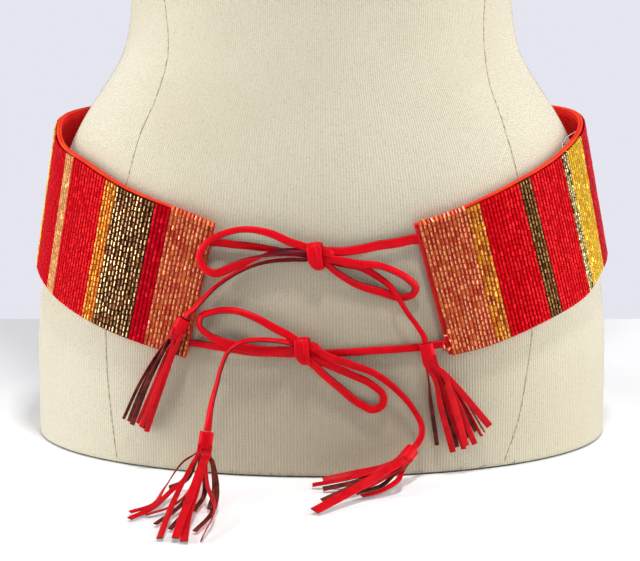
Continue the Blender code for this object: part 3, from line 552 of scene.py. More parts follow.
class Finish:
    """A material that is put together node by node, its colours given as they look on a card."""

    def __init__(self, name, roughness, metallic=0.0, specular=0.5):
        self.material = bpy.data.materials.new(name)
        self.material.use_nodes = True
        self.nodes = self.material.node_tree.nodes
        self.links = self.material.node_tree.links
        self.shader = self.nodes["Principled BSDF"]
        self.shader.inputs["Roughness"].default_value = roughness
        self.shader.inputs["Metallic"].default_value = metallic
        self.shader.inputs["Specular IOR Level"].default_value = specular

    def node(self, kind, **settings):
        made = self.nodes.new(kind)
        for key, value in settings.items():
            setattr(made, key, value)
        return made

    def put(self, socket, value):
        if hasattr(value, "is_output"):
            self.links.new(value, socket)
        else:
            socket.default_value = paint(value) if isinstance(value, tuple) else value

    def axes(self, kind):
        """The three numbers of the piece's own map (UV) or of the place on it (Object)."""
        split = self.node("ShaderNodeSeparateXYZ")
        self.put(split.inputs[0], self.node("ShaderNodeTexCoord").outputs[kind])
        return split.outputs[:]

    def math(self, operation, *values, clamp=False):
        made = self.node("ShaderNodeMath", operation=operation, use_clamp=clamp)
        for socket, value in zip(made.inputs, values):
            self.put(socket, value)
        return made.outputs[0]

    def times(self, first, second):
        return self.math("MULTIPLY", first, second)

    def apart(self, first, second):
        """How far two values lie apart."""
        return self.math("ABSOLUTE", self.math("SUBTRACT", first, second))

    def wave(self, value, pitch):
        return self.math("SINE", self.times(value, 2 * math.pi / pitch))

    def ramp(self, value, low, high, start=0.0, end=1.0):
        """start below low, end above high, and a smooth step between them."""
        made = self.node("ShaderNodeMapRange", interpolation_type="SMOOTHSTEP")
        for socket, number in zip(made.inputs[:5], (value, low, high, start, end)):
            self.put(socket, number)
        return made.outputs[0]

    def mix(self, share, first, second):
        made = self.node("ShaderNodeMix", data_type="RGBA")
        for number, value in ((0, share), (6, first), (7, second)):
            self.put(made.inputs[number], value)
        return made.outputs[2]

    def fade(self, value, low, high, first, second):
        """The first colour where the value is below low, the second where it is above high."""
        return self.mix(self.ramp(value, low, high), first, second)

    def specks(self, scale, detail):
        made = self.node("ShaderNodeTexNoise")
        self.put(made.inputs["Vector"], self.node("ShaderNodeTexCoord").outputs["Object"])
        self.put(made.inputs["Scale"], scale)
        self.put(made.inputs["Detail"], detail)
        return made.outputs["Fac"]

    def colour(self, value):
        self.put(self.shader.inputs["Base Color"], value)

    def sheen(self, weight, roughness):
        self.shader.inputs["Sheen Weight"].default_value = weight
        self.shader.inputs["Sheen Roughness"].default_value = roughness

    def relief(self, height, distance, strength):
        bump = self.node("ShaderNodeBump")
        self.put(bump.inputs["Strength"], strength)
        self.put(bump.inputs["Distance"], distance)
        self.put(bump.inputs["Height"], height)
        self.put(self.shader.inputs["Normal"], bump.outputs["Normal"])

    def leather_grain(self, smooth, rough):
        grain = self.specks(1400.0, 4.0)
        self.put(self.shader.inputs["Roughness"], self.ramp(grain, 0.3, 0.8, smooth, rough))
        self.relief(grain, 0.00025, 0.35)


def bead_glass(name, deep, main, pale, glint, streak, metallic, seldom=0.05):
    """Cut glass with a bright lining; painted shade at its sides and ends, a painted highlight streak in
    front.
    """
    made = Finish("bead_glass_" + name, 0.28, metallic, 0.03)
    tone = made.node("ShaderNodeAttribute", attribute_name="bead_tone").outputs["Fac"]
    other = made.node("ShaderNodeTexWhiteNoise", noise_dimensions="1D")
    made.put(other.inputs["W"], made.times(tone, 91.7))
    luck = other.outputs["Value"]
    round_it, along, _ = made.axes("UV")
    off_middle = made.apart(along, 0.5)
    body = made.fade(tone, 0.1, 0.9, main, pale)
    # painted shade down the bead's sides, where it meets the next column
    body = made.fade(made.apart(round_it, 0.5), 0.12, 0.24, body, deep)
    # painted shade at the bead's ends, where it meets the next bead
    body = made.mix(made.ramp(off_middle, 0.42, 0.50, 0.0, 0.35), body, deep)
    # a painted highlight: a streak down the bead's front, set a little aside and in strength by chance
    drift = made.math("MULTIPLY_ADD", luck, 0.12, -0.06)
    from_streak = made.apart(made.math("SUBTRACT", round_it, 0.5), drift)
    line = made.ramp(from_streak, 0.024, 0.062, 1.0, 0.0)
    length = made.ramp(off_middle, 0.26, 0.42, 1.0, 0.0)
    strength = made.ramp(luck, seldom, seldom + 0.7, 0.15 * streak, streak)
    made.colour(made.mix(made.times(made.times(line, length), strength), body, glint))
    return made.material


def lace_leather(name, good, back, open_side_shade, edge):
    """Folded leather strip: a good side, a back darkened as painted shade, painted shade in the open side,
    fine cut edges.
    """
    made = Finish("leather_" + name, 0.42, 0.0, 0.09)
    round_it = made.axes("UV")[0]
    wear = made.specks(110.0, 2.0)
    good_side = made.fade(wear, 0.35, 0.7, good, dimmed(good, 0.93))
    # the back, painted darker as shade
    back_shade = made.fade(wear, 0.35, 0.7, back, dimmed(back, 0.7))
    sides = made.fade(round_it, 0.49, 0.52, good_side, back_shade)
    # painted shade inside the open side of the fold
    from_open = made.apart(round_it, 0.47)
    sides = made.mix(made.ramp(from_open, 0.030, 0.055, 0.9, 0.0), sides, open_side_shade)
    from_cut = made.apart(from_open, 0.052)
    sides = made.mix(made.ramp(from_cut, 0.004, 0.016, 0.6, 0.0), sides, edge)
    made.colour(sides)
    made.leather_grain(0.34, 0.5)
    return made.material


def cut_leather():
    """Thin split leather: red grain, brown suede behind, and raw edges of a light tan."""
    made = Finish("leather_cut_strips", 0.45, 0.0, 0.12)
    round_it = made.axes("UV")[0]
    wear = made.specks(150.0, 2.0)
    good = made.fade(wear, 0.35, 0.7, (0.79, 0.0, 0.07), (0.71, 0.0, 0.07))
    suede = made.fade(wear, 0.3, 0.7, (0.46, 0.17, 0.13), (0.24, 0.07, 0.07))
    sides = made.fade(round_it, 0.49, 0.51, good, suede)
    from_left = made.apart(round_it, 0.5)
    from_right = made.math("MINIMUM", round_it, made.math("SUBTRACT", 1.0, round_it))
    raw = made.ramp(made.math("MINIMUM", from_left, from_right), 0.012, 0.035, 0.7, 0.0)
    made.colour(made.mix(raw, sides, (0.66, 0.33, 0.25)))
    made.leather_grain(0.38, 0.55)
    return made.material


def belt_cloth(name, main, dark, sheen):
    """Closely woven cotton, warp and weft told apart by light."""
    made = Finish("cloth_" + name, 0.72, 0.0, 0.3)
    made.sheen(sheen, 0.4)
    u, v, _ = made.axes("UV")
    crossing = made.times(made.wave(u, THREAD_PITCH), made.wave(v, THREAD_PITCH))
    weave = made.math("MULTIPLY_ADD", crossing, 0.5, 0.5)
    mixed = made.fade(made.specks(60.0, 3.0), 0.3, 0.7, main, dark)
    made.colour(made.mix(made.times(weave, 0.35), mixed, dark))
    made.relief(weave, 0.0002, 0.5)
    return made.material


def form_canvas():
    """Cream rib knit over the form: fine ribs, painted shade between them, grain, browner painted shade low
    in front.
    """
    made = Finish("cream_rib_knit", 0.92, 0.0, 0.25)
    made.sheen(0.2, 0.5)
    u, v, _ = made.axes("UV")
    wobble = made.times(made.specks(40.0, 2.0), 0.0012)
    rib = made.wave(made.math("ADD", u, wobble), RIB_PITCH)
    stitch = made.wave(v, STITCH_PITCH)
    knit = made.math("ADD", made.times(rib, 0.38), made.times(stitch, 0.12))
    knit = made.math("ADD", knit, 0.5, clamp=True)
    fuzz = made.specks(1100.0, 3.0)
    cloth = made.fade(made.specks(9.0, 3.0), 0.35, 0.7, (0.83, 0.805, 0.72), (0.80, 0.77, 0.675))
    # painted shade in the grooves between the ribs
    rib_groove_shade = made.times(made.ramp(knit, 0.15, 0.75, 1.0, 0.0), 0.38)
    cloth = made.mix(rib_groove_shade, cloth, (0.66, 0.63, 0.53))
    pits = made.times(made.ramp(fuzz, 0.36, 0.5, 1.0, 0.0), 0.3)
    cloth = made.mix(pits, cloth, (0.60, 0.56, 0.45))
    x, y, z = made.axes("Object")
    # painted shade over the lower middle of the front, browner and darker towards the bottom
    middle = made.ramp(made.math("ABSOLUTE", x), 0.03, 0.15, 1.0, 0.0)
    low = made.ramp(z, 0.08, 0.19, 1.0, 0.0)
    painted_low_shade = made.times(made.times(middle, low), made.ramp(y, -0.06, -0.02, 0.5, 0.0))
    made.colour(made.mix(painted_low_shade, cloth, (0.54, 0.46, 0.37)))
    made.relief(made.math("ADD", made.times(knit, 0.7), made.times(fuzz, 0.6)), 0.0005, 0.55)
    return made.material


def plain_finish(name, roughness, specular, grain, turn, colours, relief):
    """Two colours mixed by a fine grain: its scale and detail, where it turns, its depth and strength."""
    made = Finish(name, roughness, 0.0, specular)
    fleck = made.specks(*grain)
    made.colour(made.fade(fleck, *turn, *colours))
    made.relief(fleck, *relief)
    return made.material


def thread_finish(name, main, dark):
    return plain_finish("thread_" + name, 0.6, 0.4, (1500.0, 2.0), (0.35, 0.65), (main, dark), (0.0002, 0.5))


# Making pieces

def mesh_piece(name, points, faces, maps, finish, sharp=50.0):
    """A piece from points and faces with the map that its finish follows, flat where sharp is None."""
    mesh = bpy.data.meshes.new(name)
    mesh.from_pydata(np.reshape(points, (-1, 3)).tolist(), [], faces)
    layer = mesh.uv_layers.new(name="map")
    layer.data.foreach_set("uv", np.asarray(maps, dtype=np.float32).ravel())
    mesh.materials.append(finish)
    if sharp is not None:
        mesh.validate()
        mesh.shade_smooth()
        mesh.set_sharp_from_angle(angle=math.radians(sharp))
    piece = bpy.data.objects.new(name, mesh)
    bpy.context.scene.collection.objects.link(piece)
    return piece


def net(columns, rows, closed):
    """Faces and map of a net of points: both edges of each column on the map, and each row's place."""
    width = len(columns) if closed else len(columns) + 1
    faces, maps = [], []
    for row in range(len(rows) - 1):
        low, high = row * width, (row + 1) * width
        for column, (u, u_after) in enumerate(columns):
            after = (column + 1) % width
            faces.append((low + column, low + after, high + after, high + column))
            maps += [(u, rows[row]), (u_after, rows[row]), (u_after, rows[row + 1]), (u, rows[row + 1])]
    return faces, maps


def net_ends(width, rows):
    """The two faces that close a round net below and above."""
    last = (rows - 1) * width
    return [tuple(reversed(range(width))), tuple(range(last, last + width))]


def rounded(values, power):
    return np.sign(values) * np.abs(values) ** power


def swept_strip(name, path, facing, widths, thickness, finish, open_left=True, puffed=STRIP_PUFF):
    """A soft-edged strip along a path, its good side turned to facing, its section puffed."""
    path = np.asarray(path)
    tangent = unit(np.gradient(path, axis=0))
    across = unit(np.cross(tangent, facing))
    through = np.cross(across, tangent)
    turn = np.arange(STRIP_CORNERS) / STRIP_CORNERS * 2 * math.pi
    side = rounded(np.cos(turn), puffed[0]) / 2
    lift = rounded(np.sin(turn), puffed[1]) / 2
    widths = np.broadcast_to(widths, len(path))
    rings = path[:, None] + across[:, None] * (side[None, :, None] * widths[:, None, None])
    rings = rings + through[:, None] * (lift[None, :, None] * thickness)
    columns = []
    for corner in range(STRIP_CORNERS):
        start, end = corner / STRIP_CORNERS, (corner + 1) / STRIP_CORNERS
        whole = 0.5 if corner < STRIP_CORNERS // 2 else 1.5
        columns.append((start, end) if open_left else (whole - start, whole - end))
    along = measured(path)
    faces, maps = net(columns, along, True)
    faces += net_ends(STRIP_CORNERS, len(path))
    for end in (along[0], along[-1]):
        maps += [(STRIP_END_ON_MAP, end)] * STRIP_CORNERS
    return mesh_piece(name, rings, faces, maps, finish, 60.0)


def turned(path, facing, turns):
    """A facing made square to the path, then turned about it by each spot's angle."""
    tangent = unit(np.gradient(path, axis=0))
    flat = unit(facing - tangent * (facing * tangent).sum(axis=1, keepdims=True))
    return flat * np.cos(turns)[:, None] + np.cross(tangent, flat) * np.sin(turns)[:, None]


def join(name, pieces):
    bpy.ops.object.select_all(action="DESELECT")
    for piece in pieces:
        piece.select_set(True)
    bpy.context.view_layer.objects.active = pieces[0]
    bpy.ops.object.join()
    made = bpy.context.view_layer.objects.active
    made.name = name
    bpy.ops.object.select_all(action="DESELECT")
    return made


def finished(piece, slot, *nodes):
    """The piece rides with the form and stands for its solids; its slot is not used."""
    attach(piece, "root")
    if nodes:
        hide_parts(*nodes)
    return piece


def make_camera():
    data = bpy.data.cameras.new("camera")
    data.lens = CAMERA_LENS
    data.sensor_width = 36.0
    data.clip_end = 50.0
    camera = bpy.data.objects.new("camera", data)
    camera.location = CAMERA_PLACE
    camera.rotation_euler = (math.radians(CAMERA_TILT), 0.0, 0.0)
    bpy.context.scene.collection.objects.link(camera)
    bpy.context.scene.camera = camera


def head_axis(plan):
    """The middle of the top of a tassel's head, and the direction down its head."""
    top, bottom = [on_front(spot) for spot in plan["head"]]
    return top, unit(bottom - top)


def outward_of(points):
    """The way the form's surface faces, near its front."""
    rows = []
    for x, _, height in points:
        slope = (form_front(x + 0.002, height) - form_front(x - 0.002, height)) / 0.004
        rows.append((slope, -1.0, 0.0))
    return unit(rows)


def into_knot(end, knot):
    """A point a little further on, inside the knot that holds this end."""
    return end + (knot - end) * np.array(INTO_KNOT)


def into_belt(start, left):
    """A point between the lining and the face cloth, a little in from the belt's end."""
    distance = INTO_BELT if left else belt.length - INTO_BELT - FABRIC_TURNED_IN
    top, bottom, outward, _ = belt.across(distance)
    share = (start[2] - top[2]) / (bottom[2] - top[2])
    return top + (bottom - top) * share + outward * (LINING_THICKNESS + 0.0006)


def make_lace(name, leather):
    corners = [on_front(spot) for spot in LACE_ROUTES[name]]
    knot = on_front(KNOTS["knot_top" if "_top_" in name else "knot_bottom"][:3])
    if "run" in name:
        corners.insert(0, into_belt(corners[0], "left" in name))
    else:
        corners.insert(0, into_knot(corners[0], knot))
    if "tail" not in name:
        corners.append(into_knot(corners[-1], knot))
    tassel = TASSELS.get(name.replace("lace_tail", "tassel"))
    if tassel:
        top, down = head_axis(tassel)
        corners += [top - down * TAIL_STRAIGHT_END, top - down * SEAM_GAP]
    path = line_through(corners, LACE_STEP)
    widths, turns = [evenly(values, len(path)) for values in LACE_LOOKS[name]]
    facing = turned(path, outward_of(path), np.radians(turns))
    lace = swept_strip(
        "leather_" + name, path, facing, widths / 1000.0, LACE_THICKNESS, leather,
        "right" not in name, LACE_PUFF,
    )
    return finished(lace, "leather", name), path


def band_round(name, centre, lean, sizes, turns, start, bow, leather):
    """A puffed strip wound round the laces: over the front and down behind, drawn together below."""
    half_tall, half_deep, width = np.array(sizes) / 1000.0
    angle = np.linspace(start, start + turns * 2 * math.pi, int(BAND_STEPS_A_TURN * turns))
    up, out = np.array((-math.sin(lean), 0.0, math.cos(lean))), np.array((0.0, -1.0, 0.0))
    tall = rounded(np.cos(angle), BAND_ROUNDING) * half_tall
    deep = np.sin(angle) * half_deep
    facing = unit(np.outer(np.cos(angle) / half_tall, up) + np.outer(np.sin(angle) / half_deep, out))
    drawn = np.clip(-np.cos(angle), 0.0, 1.0) ** 1.5
    aside = drawn * width * BAND_ASIDE_BELOW - np.sin(angle) * bow / 1000.0
    path = centre + np.outer(tall, up) + np.outer(deep, out) + np.outer(aside, np.cross(up, out))
    widths = width * (1.0 + BAND_WIDER_ABOVE * np.cos(angle) - BAND_NARROWER_BELOW * drawn)
    return swept_strip(name, path, facing, widths, LACE_THICKNESS, leather, True, BAND_PUFF)


def make_knot(name, leather):
    centre = on_front(KNOTS[name][:3])
    lean = math.radians(KNOTS[name][3])
    bands = []
    for band, (shift, sizes, turns, start, more_lean, bow) in KNOT_BANDS.items():
        middle = centre + np.array(shift) / 1000.0
        band_name = "%s_%s" % (name, band)
        bands.append(band_round(band_name, middle, lean + more_lean, sizes, turns, start, bow, leather))
    path = line_through(centre + np.array(TUCK_ROUTE) / 1000.0, TUCK_STEP)
    widths = evenly(TUCK_WIDTHS, len(path)) / 1000.0
    facing = (0.0, -1.0, 0.25)
    tuck = swept_strip(name + "_tuck", path, facing, widths, TUCK_THICKNESS, leather, True, TUCK_PUFF)
    return finished(join("leather_" + name, bands + [tuck]), "leather", name)


def make_head(name, top, down, side, out, leather):
    """A rolled strip round a tassel's core."""
    angle = np.linspace(ROLL_START, ROLL_START + ROLL_TURNS * 2 * math.pi, ROLL_STEPS)
    round_it = np.outer(np.cos(angle) * HEAD_WIDTH / 2, side) + np.outer(np.sin(angle) * HEAD_DEPTH / 2, out)
    round_it = round_it * np.linspace(ROLL_INSIDE, 1.0, ROLL_STEPS)[:, None]
    climb = np.outer(np.linspace(ROLL_CLIMB, -ROLL_CLIMB, ROLL_STEPS), down)
    path = top + down * HEAD_LENGTH / 2 + round_it * 0.93 + climb
    width = HEAD_LENGTH - 2 * SEAM_GAP
    roll = swept_strip(name + "_roll", path, unit(round_it), width, ROLL_THICKNESS, leather)
    core_path = top + np.outer(np.linspace(*CORE_SHARES, 8) * HEAD_LENGTH, down)
    core = swept_strip(name + "_core", core_path, out, CORE_WIDTH, CORE_THICKNESS, leather)
    return finished(join("leather_head_" + name, [roll, core]), "leather", name)


def make_tassel(name, leather, strip_leather):
    """A rolled head, and the strips that are cut from the same piece of leather."""
    top, down = head_axis(TASSELS[name])
    out = np.array(HANGING_FACES)
    out = unit(out - down * down.dot(out))
    side = np.cross(out, down)
    side = side * (1.0 if side[0] > 0 else -1.0)
    head = make_head(name, top, down, side, out, leather)
    foot = top + down * HEAD_LENGTH
    lift = unit(LYING_FACES) if "bottom" in name else out
    plan = TASSELS[name]["strips"]
    routes = [np.array([on_front(spot) for spot in spots]) for _, _, spots in plan]
    cuts = np.array([width for width, _, _ in plan])
    depths = np.array([(route[0] - foot).dot(out) for route in routes])
    places = np.array([(route[0] - foot).dot(side) for route in routes])
    in_front = depths > np.median(depths)
    strips = []
    for number, (width, turns, _) in enumerate(plan):
        layer = in_front == in_front[number]
        before = cuts[layer & (places < places[number])].sum()
        share = (before + width / 2) / cuts[layer].sum() - 0.5
        ahead = (FRONT_STRIPS_AHEAD if in_front[number] else BACK_STRIPS_AHEAD) * HEAD_DEPTH
        root = foot + side * share * HEAD_WIDTH + out * ahead
        spots = [root - down * STRIP_IN_HEAD, root + down * 0.0004, *routes[number]]
        path = line_through(spots, STRIP_STEP)
        steps = np.linspace(0.0, 1.0, len(path))
        turn = np.radians(turns[0] + (turns[1] - turns[0]) * np.clip(steps * 1.4, 0.0, 1.0))
        up = out + (lift - out) * np.clip(steps * 1.5, 0.0, 1.0)[:, None]
        facing = turned(path, up, turn * np.clip(steps * 7.0, 0.0, 1.0))
        at_root = HEAD_WIDTH * width / cuts[layer].sum()
        widths = at_root + (width / 1000.0 - at_root) * np.clip(steps * 1.9, 0.0, 1.0)
        strip_name = "%s_strip_%d" % (name, number)
        strips.append(swept_strip(strip_name, path, facing, widths, STRIP_THICKNESS, strip_leather))
    finished(join("leather_strands_" + name, strips), "leather", name)
    return head


def make_bows():
    # the laces: back and open side painted darker as shade, pale cut edges
    leather = lace_leather("red", LACE_RED, (0.42, 0.0, 0.08), (0.24, 0.0, 0.05), (0.86, 0.30, 0.30))
    # the knots' wraps: back, open side and cut edges in darker reds, as painted shade
    wrap_leather = lace_leather("red_wrap", LACE_RED, (0.72, 0.0, 0.05), (0.46, 0.0, 0.05), (0.62, 0.0, 0.05))
    laces = {name: make_lace(name, leather) for name in LACE_ROUTES}
    for name in KNOTS:
        make_knot(name, wrap_leather)
    strip_leather = cut_leather()
    heads = {name: make_tassel(name, wrap_leather, strip_leather) for name in TASSELS}


def belt_panel(name, out, thickness, finish, slot, node, ripple):
    """One layer of the belt, as a fine sheet with a wall."""
    distances = np.linspace(FABRIC_IN_LEFT, belt.length - FABRIC_TURNED_IN, PANEL_COLUMNS)
    top, bottom, outward, _ = belt.crosswise(distances)
    shares = np.linspace(1.0, 0.0, PANEL_ROWS + 1)
    points = []
    for share in shares:
        wave = ripple * np.sin(distances * 190.0 + 1.3 * PANEL_ROWS * share) * math.sin(math.pi * share)
        points.append(top + (bottom - top) * share + outward * (out + thickness / 2 + wave)[:, None])
    width = float(np.linalg.norm(bottom - top, axis=1).mean())
    faces, maps = net(list(zip(distances, distances[1:])), shares * width, False)
    panel = mesh_piece(name, points, faces, maps, finish)
    wall = panel.modifiers.new("wall", "SOLIDIFY")
    wall.thickness = thickness
    wall.offset = 0.0
    bpy.context.view_layer.objects.active = panel
    bpy.ops.object.modifier_apply(modifier="wall")
    return finished(panel, slot, node)


def folded_edge(name, out, lift, radius, finish, slot):
    """A rolled fold along the belt's top edge."""
    distances = np.linspace(FABRIC_IN_LEFT, belt.length - FABRIC_TURNED_IN, FOLD_STEPS)
    top, _, outward, down = belt.crosswise(distances)
    path = top + outward * out - down * lift
    return finished(swept_strip(name, path, outward, radius * 2, radius * 2, finish), slot)


def bead_shape():
    """One cut bugle bead, six-sided with broken ends, its length upwards."""
    bpy.ops.mesh.primitive_cylinder_add(vertices=6, radius=0.5, depth=1.0, location=(0.0, 0.0, 0.0))
    bead = bpy.context.active_object
    bpy.ops.object.mode_set(mode="EDIT")
    bpy.ops.mesh.select_mode(type="EDGE")
    bpy.ops.mesh.select_all(action="DESELECT")
    shell = bmesh.from_edit_mesh(bead.data)
    for edge in shell.edges:
        ends = [round(corner.co.z, 3) for corner in edge.verts]
        edge.select = ends[0] == ends[1]
    bmesh.update_edit_mesh(bead.data)
    bpy.ops.mesh.bevel(offset=0.06, segments=1)
    bpy.ops.object.mode_set(mode="OBJECT")
    points = np.array([corner.co[:] for corner in bead.data.vertices])
    faces = [tuple(face.vertices) for face in bead.data.polygons]
    bpy.data.objects.remove(bead, do_unlink=True)
    return points, faces


BEAD_POINTS, BEAD_FACES = bead_shape()


def turn_round(x, y):
    """A turn round the bead as part of a whole one, a half at its front."""
    return 0.5 + np.arctan2(x, y) / (2 * math.pi)


def strung_beads(name, places, frames, sizes, rolls, glass):
    """Copies of the bead, each at its place with its own size and turn, in one piece."""
    places, frames, sizes = np.array(places), np.array(frames), np.array(sizes)
    count, each = len(places), len(BEAD_POINTS)
    cos, sin = np.cos(rolls)[:, None], np.sin(rolls)[:, None]
    x = BEAD_POINTS[None, :, 0] * cos - BEAD_POINTS[None, :, 1] * sin
    y = BEAD_POINTS[None, :, 0] * sin + BEAD_POINTS[None, :, 1] * cos
    z = np.broadcast_to(BEAD_POINTS[None, :, 2], x.shape)
    local = np.stack((x, y, z), axis=2) * sizes[:, None, :]
    points = places[:, None, :] + np.einsum("nki,nij->nkj", local, frames)
    order = np.concatenate(BEAD_FACES)
    middles = [turn_round(x[:, face].mean(axis=1), y[:, face].mean(axis=1)) for face in map(list, BEAD_FACES)]
    face_turn = np.repeat(np.stack(middles, axis=1), [len(face) for face in BEAD_FACES], axis=1)
    corner_turn = turn_round(x, y)[:, order]
    corner_turn = corner_turn - np.round(corner_turn - face_turn)
    maps = np.stack((corner_turn, z[:, order] + 0.5), axis=2)
    faces = [tuple(corner + each * bead for corner in face) for bead in range(count) for face in BEAD_FACES]
    piece = mesh_piece(name, points, faces, maps, glass, None)
    tone = piece.data.attributes.new("bead_tone", "FLOAT", "FACE")
    tone.data.foreach_set("value", np.repeat(chance.random(count), len(BEAD_FACES)).astype(np.float32))
    return piece


def bead_frame(long, across, outward):
    """Directions across a bead, out of it and along it, the second on the side that faces outward."""
    wide = unit(across - long * across.dot(long))
    facing = np.cross(long, wide)
    if facing.dot(outward) < 0:
        wide, facing = -wide, -facing
    return np.array((wide, facing, long))


def make_stripe(number, colour, start, end, glass):
    """One stripe: columns of beads across the belt, each on its own thread."""
    between, bead_length = FINE_BEAD if colour == "speckled" else (COLUMN_PITCH, BEAD_LENGTH)
    columns = max(2, int(round((end - start) / between)))
    pitch = (end - start) / columns
    lines = zip(*belt.crosswise(start + (np.arange(columns) + 0.5) * pitch))
    places, frames, sizes = [], [], []
    for column, (top, bottom, outward, down) in enumerate(lines):
        length = np.linalg.norm(bottom - top) - BEADS_BELOW_TOP_EDGE + BEADS_PAST_BOTTOM_EDGE
        count = int(round(length / bead_length))
        lengths = np.clip(chance.normal(1.0, LENGTH_SPREAD, count), 0.6, 1.5)
        lengths = lengths / lengths.sum() * length
        middles = BEADS_BELOW_TOP_EDGE + np.cumsum(lengths) - lengths / 2
        across = np.cross(down, outward)
        sway = 0.00005 * math.sin(column * 2.1) + chance.normal(0.0, SWAY_SPREAD, count)
        for bead in range(count):
            lift = BEAD_OUT + BEAD_DEPTH / 2 + chance.normal(0.0, LIFT_SPREAD)
            places.append(top + down * middles[bead] + outward * lift + across * sway[bead])
            lean = chance.normal(0.0, LEAN_SPREAD, 2)
            long = unit(-down + across * lean[0] + outward * lean[1])
            frames.append(bead_frame(long, across, outward))
            sizes.append((pitch * BEAD_OVERLAP, BEAD_DEPTH, lengths[bead]))
    rolls = chance.normal(0.0, ROLL_SPREAD, len(places)) + BEAD_ROLL
    piece = strung_beads("bead_stripe_%02d_%s" % (number, colour), places, frames, sizes, rolls, glass)
    return finished(piece, colour, "beads_%02d_%s" % (number, colour))


def make_edge_beads(name, start, end, glass):
    """A row of clear beads wrapped over the top edge of an end stripe."""
    columns = int(round((end - start) / COLUMN_PITCH))
    pitch = (end - start) / columns
    share, depth, length = EDGE_BEAD
    places, frames, sizes = [], [], []
    for top, _, outward, down in zip(*belt.crosswise(start + (np.arange(columns) + 0.5) * pitch)):
        across = np.cross(down, outward)
        long = unit(-down - outward * EDGE_BEAD_LEAN + across * chance.normal(0.0, 0.12))
        places.append(top + down * 0.0002 + outward * (BEAD_OUT + 0.0010))
        frames.append(bead_frame(long, across, outward))
        sizes.append((pitch * share, depth, length + chance.normal(0.0, 0.0003)))
    rolls = chance.normal(BEAD_ROLL, 0.3, columns)
    return finished(strung_beads(name, places, frames, sizes, rolls, glass), "peach")


def make_belt():
    """The lining, the face cloth, their folds and all beads; gives back the clear glass."""
    lining_cloth = belt_cloth("lining_red", (1.0, 0.05, 0.05), (0.90, 0.02, 0.03), 0.0)
    face_cloth = belt_cloth("face_red", (0.90, 0.02, 0.07), (0.74, 0.01, 0.05), 0.15)
    # painted highlight: the folded top edge of the red cloths made lighter and oranger
    lit_fold_cloth = belt_cloth("fold_orange_red", (1.0, 0.30, 0.10), (0.97, 0.15, 0.05), 0.0)
    lining = belt_panel("lining_sheet", 0.0, LINING_SHOWN, lining_cloth, "lining", "belt_lining", 0.0)
    face = belt_panel("face_sheet", FACE_OUT, FACE_SHOWN, face_cloth, "face_cloth", "belt_face", FACE_RIPPLE)
    lining_fold = folded_edge("lining_fold", 0.0006, 0.0, 0.00062, lit_fold_cloth, "lining")
    face_fold = folded_edge("face_fold", FACE_OUT + 0.0009, -0.0001, 0.00070, lit_fold_cloth, "face_cloth")
    glass = {name: bead_glass(name, *looks) for name, looks in BEAD_GLASS.items()}
    beaded = belt.length - FABRIC_PAST_BEADS_LEFT - FABRIC_PAST_BEADS_RIGHT
    stretch = beaded / sum(width for _, width in STRIPES)
    start = FABRIC_PAST_BEADS_LEFT
    for number, (colour, width) in enumerate(STRIPES, start=1):
        end = start + width * stretch
        make_stripe(number, colour, start, end, glass[colour])
        if number in (1, len(STRIPES)):
            make_edge_beads("edge_beads_%02d" % number, start, end, glass["clear_edge"])
        start = end
    return glass["clear_edge"]


def cover_ring(height, inset):
    """A level ring round the form, inside its surface by inset."""
    half_width, front, back = form_section(height)
    turn = np.arange(COVER_COLUMNS) / COVER_COLUMNS * 2 * math.pi
    x = (half_width - inset) * np.sin(turn)
    depth = np.where(np.cos(turn) < 0, back, front) - inset
    y = -depth * np.cos(turn)
    up = (height - BUST_HEIGHT) / BUST_REACH
    across = (np.abs(x) - BUST_HALF_SPACING) / BUST_REACH
    rise = BUST_RISE * np.exp(-up * up - across * across) * np.cos(turn) ** 2
    return np.stack((x, np.where(y < 0, y - rise, y), np.full(COVER_COLUMNS, height)), axis=1)


def make_form():
    """The padded form in its knit cover, its hem turned in over the edge of the base board."""
    body = [(height, 0.0) for height in np.linspace(0.0035, FORM_HEIGHT - 0.004, COVER_ROWS)]
    rings = np.array([cover_ring(height, inset) for height, inset in HEM_ROWS + body + NECK_ROWS])
    girth = np.arange(COVER_COLUMNS + 1) / COVER_COLUMNS * FORM_GIRTH
    faces, maps = net(list(zip(girth, girth[1:])), measured(rings[:, 0]), True)
    faces += net_ends(COVER_COLUMNS, len(rings))
    maps += [tuple(point[:2]) for point in (*rings[0][::-1], *rings[-1])]
    cover = mesh_piece("form_cover", rings, faces, maps, form_canvas(), 70.0)
    finished(cover, "canvas", "dress_form")
    return cover


def seam_starts(table, y):
    """Even spots along a seam's table, in front of the form or behind it."""
    line = line_through([(x / 1000.0, 0.0, height / 1000.0) for x, height in table], SEAM_STEP)
    line[:, 1] = y
    return line


def traced(tree, starts, direction):
    """Points just off the cover, where straight lines from the starts meet it."""
    points = []
    for start in starts:
        hit, normal, _, _ = tree.ray_cast(Vector(start), Vector(direction))
        if hit:
            points.append((hit + normal * SEAM_LIFT)[:])
    return np.array(points)


